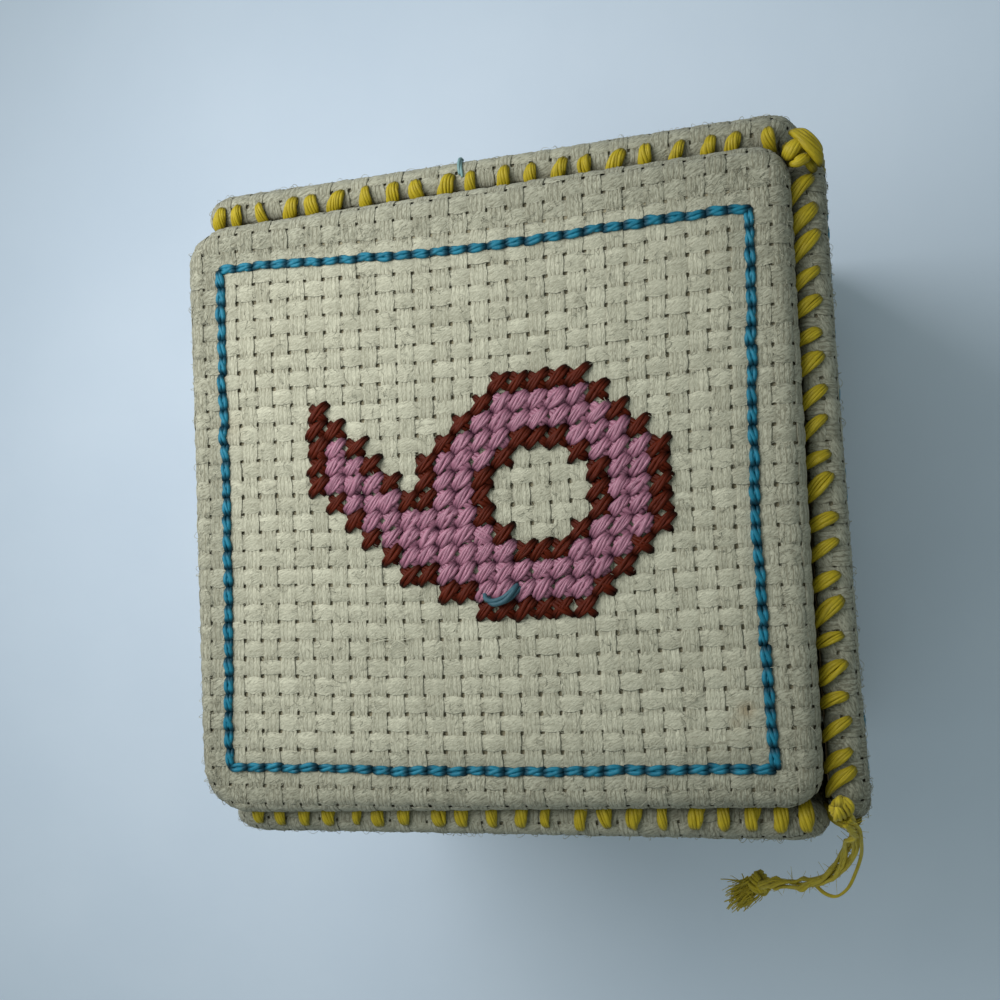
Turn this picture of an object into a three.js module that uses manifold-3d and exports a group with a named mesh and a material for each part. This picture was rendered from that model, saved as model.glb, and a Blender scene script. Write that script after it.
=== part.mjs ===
// A hand-sewn number cube. Six padded squares of even-weave cloth are whipped together along
// twelve edges round a block of foam. Each has a backstitched border and a cross-stitched numeral.
// Millimetres, +Z up. The origin is under the middle of the cube, on the plane it rests on.
import * as THREE from 'three';
import { mergeVertices } from 'three/addons/utils/BufferGeometryUtils.js';
import Module from 'manifold-3d';

const wasm = await Module();
wasm.setup();

// The cloth's squares and the stitching on them
const cellPitch = 2.31;
const borderCells = 28;
const borderMargin = 5.1;
const borderCornerRadius = 0.9;
const stitchWidth = 1.0;
const stitchHeight = 0.5;

// The layers of a padded panel, from the outside in
const clothThickness = 0.8;
const waddingThickness = 0.9;
const cardThickness = 1.0;
const hemWidth = 12;
const panelCornerRadius = 4.5;
const crownHeight = 0.35;

// The thread that whips two panels together
const flossDiameter = 1.2;
const whipTipDiameter = 0.7;
const whipCount = 21;
const whipSpan = 3.8;
const whipLean = 1.3;
const whipEndMargin = 2.2;

// The thread's end, which hangs from one corner
const tailDiameter = 1.3;
const cornerKnotDiameter = 2.6;
const tailKnotDiameter = 2.9;
const tuftLength = 4.6;
const tuftDiameter = 3.2;
const tuftNeckDiameter = 1.1;

// Clearances
const seatGap = 0.3;
const overrun = 1;

// How finely round things are divided
const edgeSteps = 6;
const cornerSteps = 3;
const flossSides = 4;
const tailSides = 8;
const tailSteps = 16;
const knotDetail = 1;

// Shares of a backstitch's height and width where its round back begins
const shoulderShare = 0.6;
const flatShare = 0.5;

// Sizes that follow from the ones above
const borderHalf = borderCells * cellPitch / 2;
const panelHalf = borderHalf + borderMargin;
const panelThickness = 2 * clothThickness + waddingThickness + cardThickness + 3 * seatGap;
const edgeRadius = panelThickness / 2;
const flatHalf = panelHalf - edgeRadius;
const plateauHalf = borderHalf + stitchWidth / 2 + seatGap;
const panelOffset = flatHalf + (panelThickness + seatGap) / Math.SQRT2;
const stitchBase = edgeRadius + crownHeight + seatGap;
const cubeHalf = panelOffset + stitchBase + stitchHeight;
const foamHalf = panelOffset - edgeRadius - seatGap;
const seamOffset = (flatHalf + panelOffset) / Math.SQRT2;

// Outlines of the numerals, from the border's top left corner. A share of one is one square of a
// chart that always fits the border.
const chartSquares = 28;
const chartSquare = 2 * borderHalf / chartSquares;
const numeralShares = {
  one: {
    outlineShares: [[12, 5], [16, 5], [16, 20], [20, 20], [20, 24], [8, 24], [8, 20], [12, 20],
      [12, 11], [8, 11], [8, 9]],
  },
  two: {
    outlineShares: [[12, 5], [17, 5], [21, 9], [21, 13], [14, 20], [21, 20], [21, 24], [8, 24],
      [8, 20], [17, 11], [17, 10], [16, 9], [13, 9], [12, 10], [12, 11], [8, 11], [8, 9]],
  },
  three: {
    outlineShares: [[12, 5], [17, 5], [21, 9], [21, 12], [18.5, 14.5], [21, 17], [21, 20], [17, 24],
      [12, 24], [8, 20], [8, 18], [12, 18], [12, 19], [13, 20], [16, 20], [17, 19], [17, 17],
      [16, 16], [12, 16], [12, 13], [16, 13], [17, 12], [17, 10], [16, 9], [13, 9], [12, 10],
      [12, 11], [8, 11], [8, 9]],
  },
  four: {
    outlineShares: [[8, 5], [12, 5], [12, 13], [15, 13], [15, 5], [19, 5], [19, 13], [21, 13],
      [21, 17], [19, 17], [19, 24], [15, 24], [15, 17], [8, 17]],
  },
  five: {
    outlineShares: [[8, 5], [20, 5], [20, 9], [12, 9], [12, 12], [17, 12], [21, 16], [21, 20],
      [17, 24], [12, 24], [8, 20], [8, 18], [12, 18], [12, 19], [13, 20], [16, 20], [17, 19],
      [17, 17], [16, 16], [8, 16]],
  },
  six: {
    outlineShares: [[15, 7], [20, 7], [24, 11], [24, 16], [20, 20], [14.5, 20], [10.5, 18], [5, 13],
      [5, 7], [11, 13], [11, 11]],
    eyeShares: [[16.7, 11], [18.3, 11], [20, 12.7], [20, 14.3], [18.3, 16], [16.7, 16], [15, 14.3],
      [15, 12.7]],
  },
};

// The thread's end, from the corner knot to the knot near its tip
const tailRoute = [
  [39.3, -38.5, 80.6], [39.6, -39.5, 79.4], [39.8, -40.6, 77.7], [39.9, -41.6, 75.7],
  [39.9, -42.7, 73.4], [39.7, -43.9, 71.2], [39.2, -45.1, 69.0], [38.5, -46.3, 66.9],
  [37.6, -47.3, 64.8], [36.5, -48.2, 62.8], [35.3, -49.0, 60.9], [33.9, -49.7, 59.1],
  [32.4, -50.3, 57.3], [30.8, -50.8, 55.6], [29.2, -51.3, 54.0], [27.7, -51.7, 52.3],
];
const cornerKnotPlace = [38.5, -37.7, 81.6];
const tailKnotPlace = [26.8, -52.0, 50.9];
const tuftDirectionShares = [-0.72, -0.5, -0.48];

// Colours and surfaces
const finishes = {
  cloth: { color: 0xd2c8a6, roughness: 0.95, metalness: 0 },
  wadding: { color: 0xe9e7df, roughness: 1, metalness: 0 },
  card: { color: 0xb59f7c, roughness: 0.9, metalness: 0 },
  foam: { color: 0xe6dca8, roughness: 1, metalness: 0 },
  blueCotton: { color: 0x2e86af, roughness: 0.6, metalness: 0 },
  pinkCotton: { color: 0xb97ba0, roughness: 0.6, metalness: 0 },
  brownCotton: { color: 0x6b2a14, roughness: 0.6, metalness: 0 },
  mustardCotton: { color: 0xc2a81e, roughness: 0.6, metalness: 0 },
};

// Joins rings of points into one closed surface. Each ring runs counter-clockwise about the way
// that the rings follow each other. A loop's last ring joins its first, and other ends are capped.
function skin(rings, isLoop) {
  const across = rings[0].length;
  const last = isLoop ? rings.length : rings.length - 1;
  const at = (ring, i) => (ring % rings.length) * across + (i % across);
  const faces = [];
  for (let ring = 0; ring < last; ring += 1) {
    for (let i = 0; i < across; i += 1) {
      faces.push(at(ring, i), at(ring, i + 1), at(ring + 1, i + 1));
      faces.push(at(ring, i), at(ring + 1, i + 1), at(ring + 1, i));
    }
  }
  for (let i = 1; i < across - 1 && !isLoop; i += 1) {
    faces.push(at(0, 0), at(0, i + 1), at(0, i));
    faces.push(at(last, 0), at(last, i), at(last, i + 1));
  }
  const geometry = new THREE.BufferGeometry().setFromPoints(rings.flat());
  geometry.setIndex(faces);
  geometry.computeVertexNormals();
  return geometry;
}

// A square with round corners, counter-clockwise seen from above
function roundedSquare(half, corner, height) {
  const points = [];
  for (let turn = 0; turn < 4; turn += 1) {
    const middle = new THREE.Vector2(half - corner, half - corner);
    middle.rotateAround(new THREE.Vector2(), turn * Math.PI / 2);
    for (let i = 0; i <= cornerSteps; i += 1) {
      const angle = (turn + i / cornerSteps) * Math.PI / 2;
      const x = middle.x + corner * Math.cos(angle);
      const y = middle.y + corner * Math.sin(angle);
      points.push(new THREE.Vector3(x, y, height));
    }
  }
  return points;
}

// A square pad whose edges are fully round and whose front swells to a flat crown
function paddedSlab(half, radius) {
  const ringAt = (inset, height) => {
    const corner = panelCornerRadius * (half - inset) / panelHalf;
    return roundedSquare(half - inset, corner, height);
  };
  const rings = [];
  for (let i = 0; i <= edgeSteps; i += 1) {
    const angle = Math.PI * (i / edgeSteps - 0.5);
    rings.push(ringAt(radius * (1 - Math.cos(angle)), radius * Math.sin(angle)));
  }
  rings.push(ringAt(half - plateauHalf, radius + crownHeight));
  return skin(rings, false);
}

function solidOf(geometry) {
  const bare = geometry.clone();
  bare.deleteAttribute('normal');
  bare.deleteAttribute('uv');
  const merged = mergeVertices(bare);
  const vertProperties = merged.attributes.position.array;
  const triVerts = new Uint32Array(merged.index.array);
  return new wasm.Manifold(new wasm.Mesh({ numProp: 3, vertProperties, triVerts }));
}

function geometryOf(solid) {
  const mesh = solid.getMesh();
  const geometry = new THREE.BufferGeometry();
  geometry.setAttribute('position', new THREE.BufferAttribute(mesh.vertProperties, 3));
  geometry.setIndex(new THREE.BufferAttribute(mesh.triVerts, 1));
  geometry.computeVertexNormals();
  return geometry;
}

// The cloth wraps the pad and the card, and its hem is turned in behind them
function coverGeometry() {
  const outside = paddedSlab(panelHalf, edgeRadius);
  const inside = paddedSlab(panelHalf - clothThickness, edgeRadius - clothThickness);
  const windowSide = 2 * (panelHalf - hemWidth);
  const window = new THREE.BoxGeometry(windowSide, windowSide, clothThickness + 2 * overrun);
  window.translate(0, 0, -edgeRadius);
  return geometryOf(solidOf(outside).subtract(solidOf(inside)).subtract(solidOf(window)));
}

// A flat square with round corners, standing on the height given
function layerGeometry(thickness, base) {
  const corner = panelCornerRadius * flatHalf / panelHalf;
  const bottom = roundedSquare(flatHalf, corner, base);
  const top = roundedSquare(flatHalf, corner, base + thickness);
  return skin([bottom, top], false);
}

// The backstitched square, with a low round back
function borderGeometry() {
  const half = stitchWidth / 2;
  const section = [
    [half, 0], [half, stitchHeight * shoulderShare], [half * flatShare, stitchHeight],
    [-half * flatShare, stitchHeight], [-half, stitchHeight * shoulderShare], [-half, 0],
  ];
  const rings = section.map(([out, up]) => (
    roundedSquare(borderHalf + out, borderCornerRadius + out, stitchBase + up)
  ));
  return skin(rings, true);
}

// Turns an outline in squares of the chart into millimetres, counter-clockwise
function onCloth(outline) {
  const points = outline.map(([across, down]) => new THREE.Vector2(
    across * chartSquare - borderHalf,
    borderHalf - down * chartSquare,
  ));
  return THREE.ShapeUtils.isClockWise(points) ? points.reverse() : points;
}

// Moves each side of a counter-clockwise outline inwards, or outwards where distance is below zero
function inset(outline, distance) {
  return outline.map((point, i) => {
    const before = outline[(i + outline.length - 1) % outline.length];
    const after = outline[(i + 1) % outline.length];
    const arriving = point.clone().sub(before).normalize();
    const leaving = after.clone().sub(point).normalize();
    const sum = arriving.add(leaving);
    const mitre = new THREE.Vector2(-sum.y, sum.x);
    return point.clone().addScaledVector(mitre, 2 * distance / mitre.lengthSq());
  });
}

// A layer of stitches on the cloth, of the outline given
function stitchedLayer(outline, hole) {
  const shape = new THREE.Shape(outline);
  if (hole) {
    shape.holes.push(new THREE.Path(hole));
  }
  const geometry = new THREE.ExtrudeGeometry(shape, { depth: stitchHeight, bevelEnabled: false });
  geometry.translate(0, 0, stitchBase);
  return geometry;
}

// One row of crosses outlines a numeral, and another its eye
function numeralGeometries({ outlineShares, eyeShares }) {
  const near = chartSquare - seatGap / 2;
  const far = chartSquare + seatGap / 2;
  const edge = onCloth(outlineShares);
  const hole = eyeShares ? onCloth(eyeShares) : null;
  const layers = {
    outline: stitchedLayer(edge, inset(edge, near)),
    fill: stitchedLayer(inset(edge, far), hole ? inset(hole, -far) : null),
  };
  if (hole) {
    layers.rim = stitchedLayer(inset(hole, -near), hole);
  }
  return layers;
}

// The middles of a whipping thread's rings, as [along, aside, radius]
function whipPlaces(leanShare) {
  const hand = Math.sign(leanShare);
  const lean = whipLean * Math.abs(leanShare);
  const reach = panelHalf - whipEndMargin;
  const pitch = (2 * reach - lean) / (whipCount - 1);
  const aside = hand * whipSpan / 2;
  const tip = whipTipDiameter / 2;
  const places = [[-reach - flossDiameter, -aside, tip]];
  for (let i = 0; i < whipCount; i += 1) {
    const start = i * pitch - reach;
    places.push([start, -aside, tip]);
    places.push([start + lean / 2, 0, flossDiameter / 2]);
    places.push([start + lean, aside, tip]);
  }
  places.push([reach + flossDiameter, aside, tip]);
  return places;
}

// The least gap between turns of the thread that don't meet each other
function leastGap(places) {
  let least = Infinity;
  const neighbours = 3;
  for (let i = 0; i < places.length; i += 1) {
    for (let k = i + neighbours; k < places.length; k += 1) {
      const apart = Math.hypot(places[i][0] - places[k][0], places[i][1] - places[k][1]);
      least = Math.min(least, apart - places[i][2] - places[k][2]);
    }
  }
  return least;
}

// One unbroken thread that crosses the groove between two panels, over and back, along X.
// Its bars are full in the middle and pulled thin where they turn into the cloth.
function whipGeometry(leanShare) {
  const places = whipPlaces(leanShare);
  console.log('least gap in a whipping thread', leastGap(places).toFixed(2));
  const out = new THREE.Vector3(0, 0, 1);
  const rings = places.map(([along, aside, radius], i) => {
    const isBar = radius === flossDiameter / 2;
    const way = new THREE.Vector3(1, 0, 0);
    if (isBar) {
      way.set(places[i + 1][0] - places[i - 1][0], places[i + 1][1] - places[i - 1][1], 0);
    }
    const across = out.clone().cross(way.normalize());
    const middle = new THREE.Vector3(along, aside, edgeRadius + seatGap + radius);
    const ring = [];
    for (let side = 0; side < flossSides; side += 1) {
      const angle = 2 * Math.PI * side / flossSides;
      const point = middle.clone().addScaledVector(across, radius * Math.cos(angle));
      ring.push(point.addScaledVector(out, radius * Math.sin(angle)));
    }
    return ring;
  });
  return skin(rings, false);
}

function tailGeometry() {
  const section = new THREE.Shape();
  for (let side = 0; side < tailSides; side += 1) {
    const angle = 2 * Math.PI * side / tailSides;
    const x = tailDiameter / 2 * Math.cos(angle);
    const y = tailDiameter / 2 * Math.sin(angle);
    section[side ? 'lineTo' : 'moveTo'](x, y);
  }
  section.closePath();
  const route = new THREE.CatmullRomCurve3(tailRoute.map((point) => new THREE.Vector3(...point)));
  return new THREE.ExtrudeGeometry(section, { steps: tailSteps, extrudePath: route });
}

function knotGeometry(diameter) {
  return mergeVertices(new THREE.IcosahedronGeometry(diameter / 2, knotDetail));
}

// The frayed tip widens away from its knot, along Y
function tuftGeometry() {
  const start = tailKnotDiameter / 2 + seatGap;
  const geometry = new THREE.CylinderGeometry(
    tuftDiameter / 2,
    tuftNeckDiameter / 2,
    tuftLength,
    tailSides,
  );
  geometry.translate(0, start + tuftLength / 2, 0);
  return geometry;
}

function piece(name, geometry, finish) {
  const mesh = new THREE.Mesh(geometry, new THREE.MeshStandardMaterial(finishes[finish]));
  mesh.name = name;
  return mesh;
}

const axis = (x, y, z) => new THREE.Vector3(x, y, z);

// Each side of the cube: where it faces, which way is up on it, and its numeral
const sides = [
  { name: 'top', out: axis(0, 0, 1), up: axis(0, 1, 0), numeral: 'six' },
  { name: 'bottom', out: axis(0, 0, -1), up: axis(0, -1, 0), numeral: 'one' },
  { name: 'front', out: axis(0, -1, 0), up: axis(0, 0, 1), numeral: 'two' },
  { name: 'back', out: axis(0, 1, 0), up: axis(0, 0, 1), numeral: 'five' },
  { name: 'left', out: axis(-1, 0, 0), up: axis(0, 0, 1), numeral: 'three' },
  { name: 'right', out: axis(1, 0, 0), up: axis(0, 0, 1), numeral: 'four' },
];

// Each edge: the two sides that it joins, the way that it runs, and how far its stitches lean
const edges = [
  { between: ['top', 'back'], along: axis(1, 0, 0), leanShare: 1 },
  { between: ['top', 'front'], along: axis(1, 0, 0), leanShare: -0.4 },
  { between: ['top', 'right'], along: axis(0, 1, 0), leanShare: -1 },
  { between: ['top', 'left'], along: axis(0, 1, 0), leanShare: 1 },
  { between: ['bottom', 'back'], along: axis(1, 0, 0), leanShare: 1 },
  { between: ['bottom', 'front'], along: axis(1, 0, 0), leanShare: 1 },
  { between: ['bottom', 'right'], along: axis(0, 1, 0), leanShare: 1 },
  { between: ['bottom', 'left'], along: axis(0, 1, 0), leanShare: 1 },
  { between: ['front', 'right'], along: axis(0, 0, 1), leanShare: 1 },
  { between: ['front', 'left'], along: axis(0, 0, 1), leanShare: 1 },
  { between: ['back', 'right'], along: axis(0, 0, 1), leanShare: 1 },
  { between: ['back', 'left'], along: axis(0, 0, 1), leanShare: 1 },
];

// One padded panel with its stitching, modelled facing up and turned to its side of the cube
function panel({ name, out, up, numeral }) {
  const group = new THREE.Group();
  const right = up.clone().cross(out);
  group.quaternion.setFromRotationMatrix(new THREE.Matrix4().makeBasis(right, up, out));
  group.position.copy(out).multiplyScalar(panelOffset);
  const cardBase = clothThickness + seatGap - edgeRadius;
  const waddingBase = cardBase + cardThickness + seatGap;
  group.add(piece(`aida_${name}`, coverGeometry(), 'cloth'));
  group.add(piece(`card_${name}`, layerGeometry(cardThickness, cardBase), 'card'));
  group.add(piece(`wadding_${name}`, layerGeometry(waddingThickness, waddingBase), 'wadding'));
  group.add(piece(`border_${name}`, borderGeometry(), 'blueCotton'));
  const layers = numeralGeometries(numeralShares[numeral]);
  for (const [layer, geometry] of Object.entries(layers)) {
    const finish = layer === 'fill' ? 'pinkCotton' : 'brownCotton';
    group.add(piece(`numeral_${numeral}_${layer}`, geometry, finish));
  }
  return group;
}

// The thread along one edge, laid in the groove between its two sides
function seam({ between, along, leanShare }) {
  const [first, second] = between.map((name) => sides.find((side) => side.name === name));
  const out = first.out.clone().add(second.out).normalize();
  const aside = out.clone().cross(along);
  const mesh = piece(`seam_${between.join('_')}`, whipGeometry(leanShare), 'mustardCotton');
  mesh.quaternion.setFromRotationMatrix(new THREE.Matrix4().makeBasis(along, aside, out));
  mesh.position.copy(out).multiplyScalar(seamOffset);
  return mesh;
}

// The free end of the thread, with its knots
function threadTail() {
  const group = new THREE.Group();
  const cornerKnot = piece('corner_knot', knotGeometry(cornerKnotDiameter), 'mustardCotton');
  cornerKnot.position.set(...cornerKnotPlace);
  const tailKnot = piece('tail_knot', knotGeometry(tailKnotDiameter), 'mustardCotton');
  tailKnot.position.set(...tailKnotPlace);
  const tuft = piece('tail_tuft', tuftGeometry(), 'mustardCotton');
  const away = new THREE.Vector3(...tuftDirectionShares).normalize();
  tuft.position.copy(tailKnot.position);
  tuft.quaternion.setFromUnitVectors(axis(0, 1, 0), away);
  group.add(cornerKnot, piece('tail_cord', tailGeometry(), 'mustardCotton'), tailKnot, tuft);
  return group;
}

const foamSide = 2 * foamHalf;
const cube = new THREE.Group();
cube.position.z = cubeHalf;
cube.add(piece('foam_core', new THREE.BoxGeometry(foamSide, foamSide, foamSide), 'foam'));
sides.forEach((side) => cube.add(panel(side)));
edges.forEach((edge) => cube.add(seam(edge)));

const part = new THREE.Group();
part.add(cube, threadTail());

export default part;
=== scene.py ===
"""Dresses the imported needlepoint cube: woven Aida, backstitch, cross stitch, whipped seams and a thread.

Lengths are in millimetres in the row frame until a mesh is built, which turns them to metres.
"""
import logging
import math
from dataclasses import dataclass, replace
from enum import Enum

import bpy
import numpy as np
from mathutils import Euler, Matrix, Vector


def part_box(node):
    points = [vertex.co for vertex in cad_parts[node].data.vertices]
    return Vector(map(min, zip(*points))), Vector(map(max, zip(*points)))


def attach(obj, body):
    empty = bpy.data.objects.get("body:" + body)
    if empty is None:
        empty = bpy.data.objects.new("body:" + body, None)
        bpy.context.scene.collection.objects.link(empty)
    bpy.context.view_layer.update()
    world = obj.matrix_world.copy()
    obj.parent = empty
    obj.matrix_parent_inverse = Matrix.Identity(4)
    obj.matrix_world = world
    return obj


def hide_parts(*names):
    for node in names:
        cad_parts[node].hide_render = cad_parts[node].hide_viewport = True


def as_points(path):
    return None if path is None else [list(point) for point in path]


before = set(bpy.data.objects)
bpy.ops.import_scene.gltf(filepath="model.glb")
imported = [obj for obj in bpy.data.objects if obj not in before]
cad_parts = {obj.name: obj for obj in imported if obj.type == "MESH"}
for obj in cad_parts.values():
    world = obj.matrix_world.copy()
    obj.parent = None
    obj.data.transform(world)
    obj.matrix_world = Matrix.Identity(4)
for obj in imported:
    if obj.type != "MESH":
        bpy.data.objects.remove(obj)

Array = np.ndarray
Chances = np.random.Generator
Material = bpy.types.Material
Piece = bpy.types.Object
Socket = bpy.types.NodeSocket
Tree = bpy.types.NodeTree
Place = tuple[float, float, float]
Colour = tuple[float, float, float, float]

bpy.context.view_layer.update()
METRES = 0.001
ROOT = "root"
STAIN = 0x8A6A3C
# Where each kind of work starts its chances, so that every run draws the same cube.
WEAVE_SEED, LINT_SEED, BORDER_SEED, NUMERAL_SEED, SEAM_SEED, TAIL_SEED = 40, 90, 10, 200, 300, 501
MATH, RANGE, MIX = "ShaderNodeMath", "ShaderNodeMapRange", "ShaderNodeMix"
NOISE, MAPPING = "ShaderNodeTexNoise", "ShaderNodeMapping"
MULTIPLY, MULTIPLY_ADD, MAXIMUM = ({"operation": name} for name in ("MULTIPLY", "MULTIPLY_ADD", "MAXIMUM"))
SMOOTH, COLOURS = {"interpolation_type": "SMOOTHSTEP"}, {"data_type": "RGBA"}
log = logging.getLogger("needlepoint_cube")


def linear(code: int) -> Colour:
    """Turns an sRGB colour code to linear light.

    Args:
        code: the colour as 0xRRGGBB.

    Returns:
        Red, green, blue and an alpha of one, in linear light.
    """
    shares = [((code >> shift) & 255) / 255 for shift in (16, 8, 0)]
    lights = [s / 12.92 if s <= 0.04045 else ((s + 0.055) / 1.055) ** 2.4 for s in shares]
    return (lights[0], lights[1], lights[2], 1.0)


def add_node(
    tree: Tree,
    kind: str,
    settings: dict[str, object] | None = None,
    links: dict[str | int, object] | None = None,
) -> bpy.types.Node:
    """Adds one node with its settings and links.

    Args:
        tree: the node tree that gets the node.
        kind: the node's type name.
        settings: the node's own properties, by name.
        links: for each input, by name or number, the socket that feeds it or the value that it holds.

    Returns:
        The new node.
    """
    node = tree.nodes.new(kind)
    for name, value in (settings or {}).items():
        setattr(node, name, value)
    for name, value in (links or {}).items():
        if isinstance(value, Socket):
            tree.links.new(value, node.inputs[name])
        else:
            node.inputs[name].default_value = value
    return node


def bare_material(name: str) -> tuple[Material, Tree]:
    """Makes a material whose node tree is empty.

    Args:
        name: the material's name.

    Returns:
        The new material and its node tree.
    """
    material = bpy.data.materials.new(name)
    material.use_nodes = True
    material.node_tree.nodes.clear()
    return material, material.node_tree


@dataclass(frozen=True)
class SpunCotton:
    """Spun cotton, streaked along its fibres, and darker between its threads and where it dives into a hole.

    Its colours are the clean thread's, the one between its fibres, the painted shade down in the holes and
    the one where it is soiled, which is the second again if none is given; on the right panel's edges the
    soiled colour also stands for painted shade. The darkening between its threads and where it dives is
    painted shade too. Flecks are how dark the painted shade in the pits between loose fibres is, from 0 to 1.
    Lengths are in millimetres.
    """

    light: int
    dark: int
    deep: int
    worn: int = 0
    roughness: float = 0.4
    gleam: float = 0.2
    sheen: float = 0.0
    fibre_width: float = 0.12
    fibre_length: float = 1.0
    bump: float = 0.9
    relief: float = 0.07
    flecks: float = 0.0

    def material(self, name: str) -> Material:
        """Makes the material, which reads each point's thread, tone and furrow.

        Args:
            name: the material's name.

        Returns:
            The new material.
        """
        material, tree = bare_material(name)
        place, tone, furrow = (
            add_node(tree, "ShaderNodeAttribute", {"attribute_name": label}).outputs["Vector"]
            for label in ("thread", "tone", "furrow")
        )
        chance, shade, soil = add_node(tree, "ShaderNodeSeparateXYZ", links={0: tone}).outputs
        threads_before, line_depth, stain = add_node(tree, "ShaderNodeSeparateXYZ", links={0: furrow}).outputs
        streaks = (1 / self.fibre_length, 1 / self.fibre_width, 1 / self.fibre_width)
        fibre_grid = add_node(tree, MAPPING, links={0: place, "Scale": streaks}).outputs[0]
        woolly = {0: fibre_grid, "Scale": 1.0, "Detail": 4.0, "Roughness": 0.7}
        fibres = add_node(tree, NOISE, links=woolly).outputs["Fac"]
        coarser = {0: fibre_grid, "Scale": 0.85, "Detail": 3.0, "Roughness": 0.6}
        grain = add_node(tree, NOISE, links=coarser).outputs["Fac"]
        cloud = add_node(tree, NOISE, links={0: place, "Scale": 0.35, "Detail": 2.0}).outputs["Fac"]
        # The painted shade lines between the threads of a bundle wander a little.
        wander = add_node(tree, MATH, MULTIPLY_ADD, {0: cloud, 1: 0.5, 2: threads_before})
        centred = add_node(tree, MATH, {"operation": "SUBTRACT"}, {0: wander.outputs[0], 1: 0.25})
        between = add_node(tree, MATH, {"operation": "PINGPONG"}, {0: centred.outputs[0], 1: 0.5})
        near = {"Value": between.outputs[0], "From Min": 0.2, "From Max": 0.0}
        line = add_node(tree, RANGE, SMOOTH, near)
        furrowed = add_node(tree, MATH, MULTIPLY, {0: line.outputs[0], 1: line_depth})
        # Painted shade: the lines between the threads and the dives into holes darken the thread towards its
        # deep colour.
        depth = add_node(tree, MATH, MAXIMUM, {0: shade, 1: furrowed.outputs[0]})
        # Each thread of a bundle has its own tone.
        which = add_node(tree, MATH, {"operation": "FLOOR"}, {0: centred.outputs[0]})
        own = add_node(
            tree, "ShaderNodeTexWhiteNoise", {"noise_dimensions": "1D"}, {"W": which.outputs[0]}
        )
        mixed = add_node(tree, MATH, MULTIPLY_ADD, {0: own.outputs["Value"], 1: 0.25, 2: cloud})
        varied = add_node(tree, MATH, MULTIPLY_ADD, {0: chance, 1: 0.35, 2: mixed.outputs[0]})
        streaked = add_node(tree, MATH, MULTIPLY_ADD, {0: fibres, 1: 2.6, 2: varied.outputs[0]})
        spread = {"Value": streaked.outputs[0], "From Min": 1.5, "From Max": 2.9}
        darkness = add_node(tree, RANGE, links=spread).outputs[0]
        body = add_node(tree, MIX, COLOURS, {0: darkness, 6: linear(self.light), 7: linear(self.dark)})
        patches = {"Value": grain, "From Min": 0.4, "From Max": 0.6, "To Min": 1.45, "To Max": 0.55}
        mottle = add_node(tree, RANGE, links=patches)
        held = {"operation": "MULTIPLY", "use_clamp": True}
        # The soil mask; at the right panel's edges it is partly painted shade.
        soiled = add_node(tree, MATH, held, {0: soil, 1: mottle.outputs[0]}).outputs[0]
        worn = linear(self.worn or self.dark)
        handled = add_node(tree, MIX, COLOURS, {0: soiled, 6: body.outputs[2], 7: worn})
        if self.flecks:
            # Painted shade in the pits between loose fibres, deeper where the cloth is soiled.
            low = {"Value": grain, "From Min": 0.45, "From Max": 0.36, "To Max": self.flecks}
            pits = add_node(tree, RANGE, SMOOTH, low)
            more = add_node(tree, MATH, MULTIPLY_ADD, {0: soil, 1: 0.7, 2: 0.5})
            pitted = add_node(tree, MATH, MULTIPLY, {0: pits.outputs[0], 1: more.outputs[0]})
            depth = add_node(tree, MATH, MAXIMUM, {0: depth.outputs[0], 1: pitted.outputs[0]})
        stained = add_node(tree, MIX, COLOURS, {0: stain, 6: handled.outputs[2], 7: linear(STAIN)})
        # The deep colour is painted shade, laid where the thread dives, between its threads and in the pits.
        holes = {0: depth.outputs[0], 6: stained.outputs[2], 7: linear(self.deep)}
        shaded = add_node(tree, MIX, COLOURS, holes)
        stands = {"Strength": self.bump, "Distance": self.relief * METRES, "Height": fibres}
        surface = {
            "Base Color": shaded.outputs[2],
            "Roughness": self.roughness,
            "Specular IOR Level": self.gleam,
            "Sheen Weight": self.sheen,
            "Sheen Roughness": 0.5,
            "Normal": add_node(tree, "ShaderNodeBump", links=stands).outputs[0],
        }
        shader = add_node(tree, "ShaderNodeBsdfPrincipled", links=surface)
        add_node(tree, "ShaderNodeOutputMaterial", links={"Surface": shader.outputs[0]})
        return material


@dataclass(frozen=True)
class AidaCotton(SpunCotton):
    """Aida, a cotton woven in blocks of four threads: matt and woolly, cream where clean, grey where handled.

    A cotton fibre is 0.02 mm across, too fine to show, so the wool of the threads is drawn at 0.2 mm. Its
    deep colour is painted shade in the holes and between the threads, and at the right panel's edges part of
    the grey is painted shade too.
    """

    light: int = 0xCCCAB4
    dark: int = 0x918F7C
    # Painted shade, down in the holes and between the threads.
    deep: int = 0x726D5A
    worn: int = 0x7D7D6D
    roughness: float = 0.93
    gleam: float = 0.3
    sheen: float = 0.1
    fibre_width: float = 0.2
    fibre_length: float = 0.5
    bump: float = 1.0
    relief: float = 0.2
    flecks: float = 0.75


@dataclass(frozen=True)
class StrandedCotton(SpunCotton):
    """Stranded embroidery cotton, mercerised: fine twisted strands with a soft silky gleam along them.

    The fibres are 0.015 mm across, too fine to show, so the streaks along a strand are drawn at 0.12 mm.
    """


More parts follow.
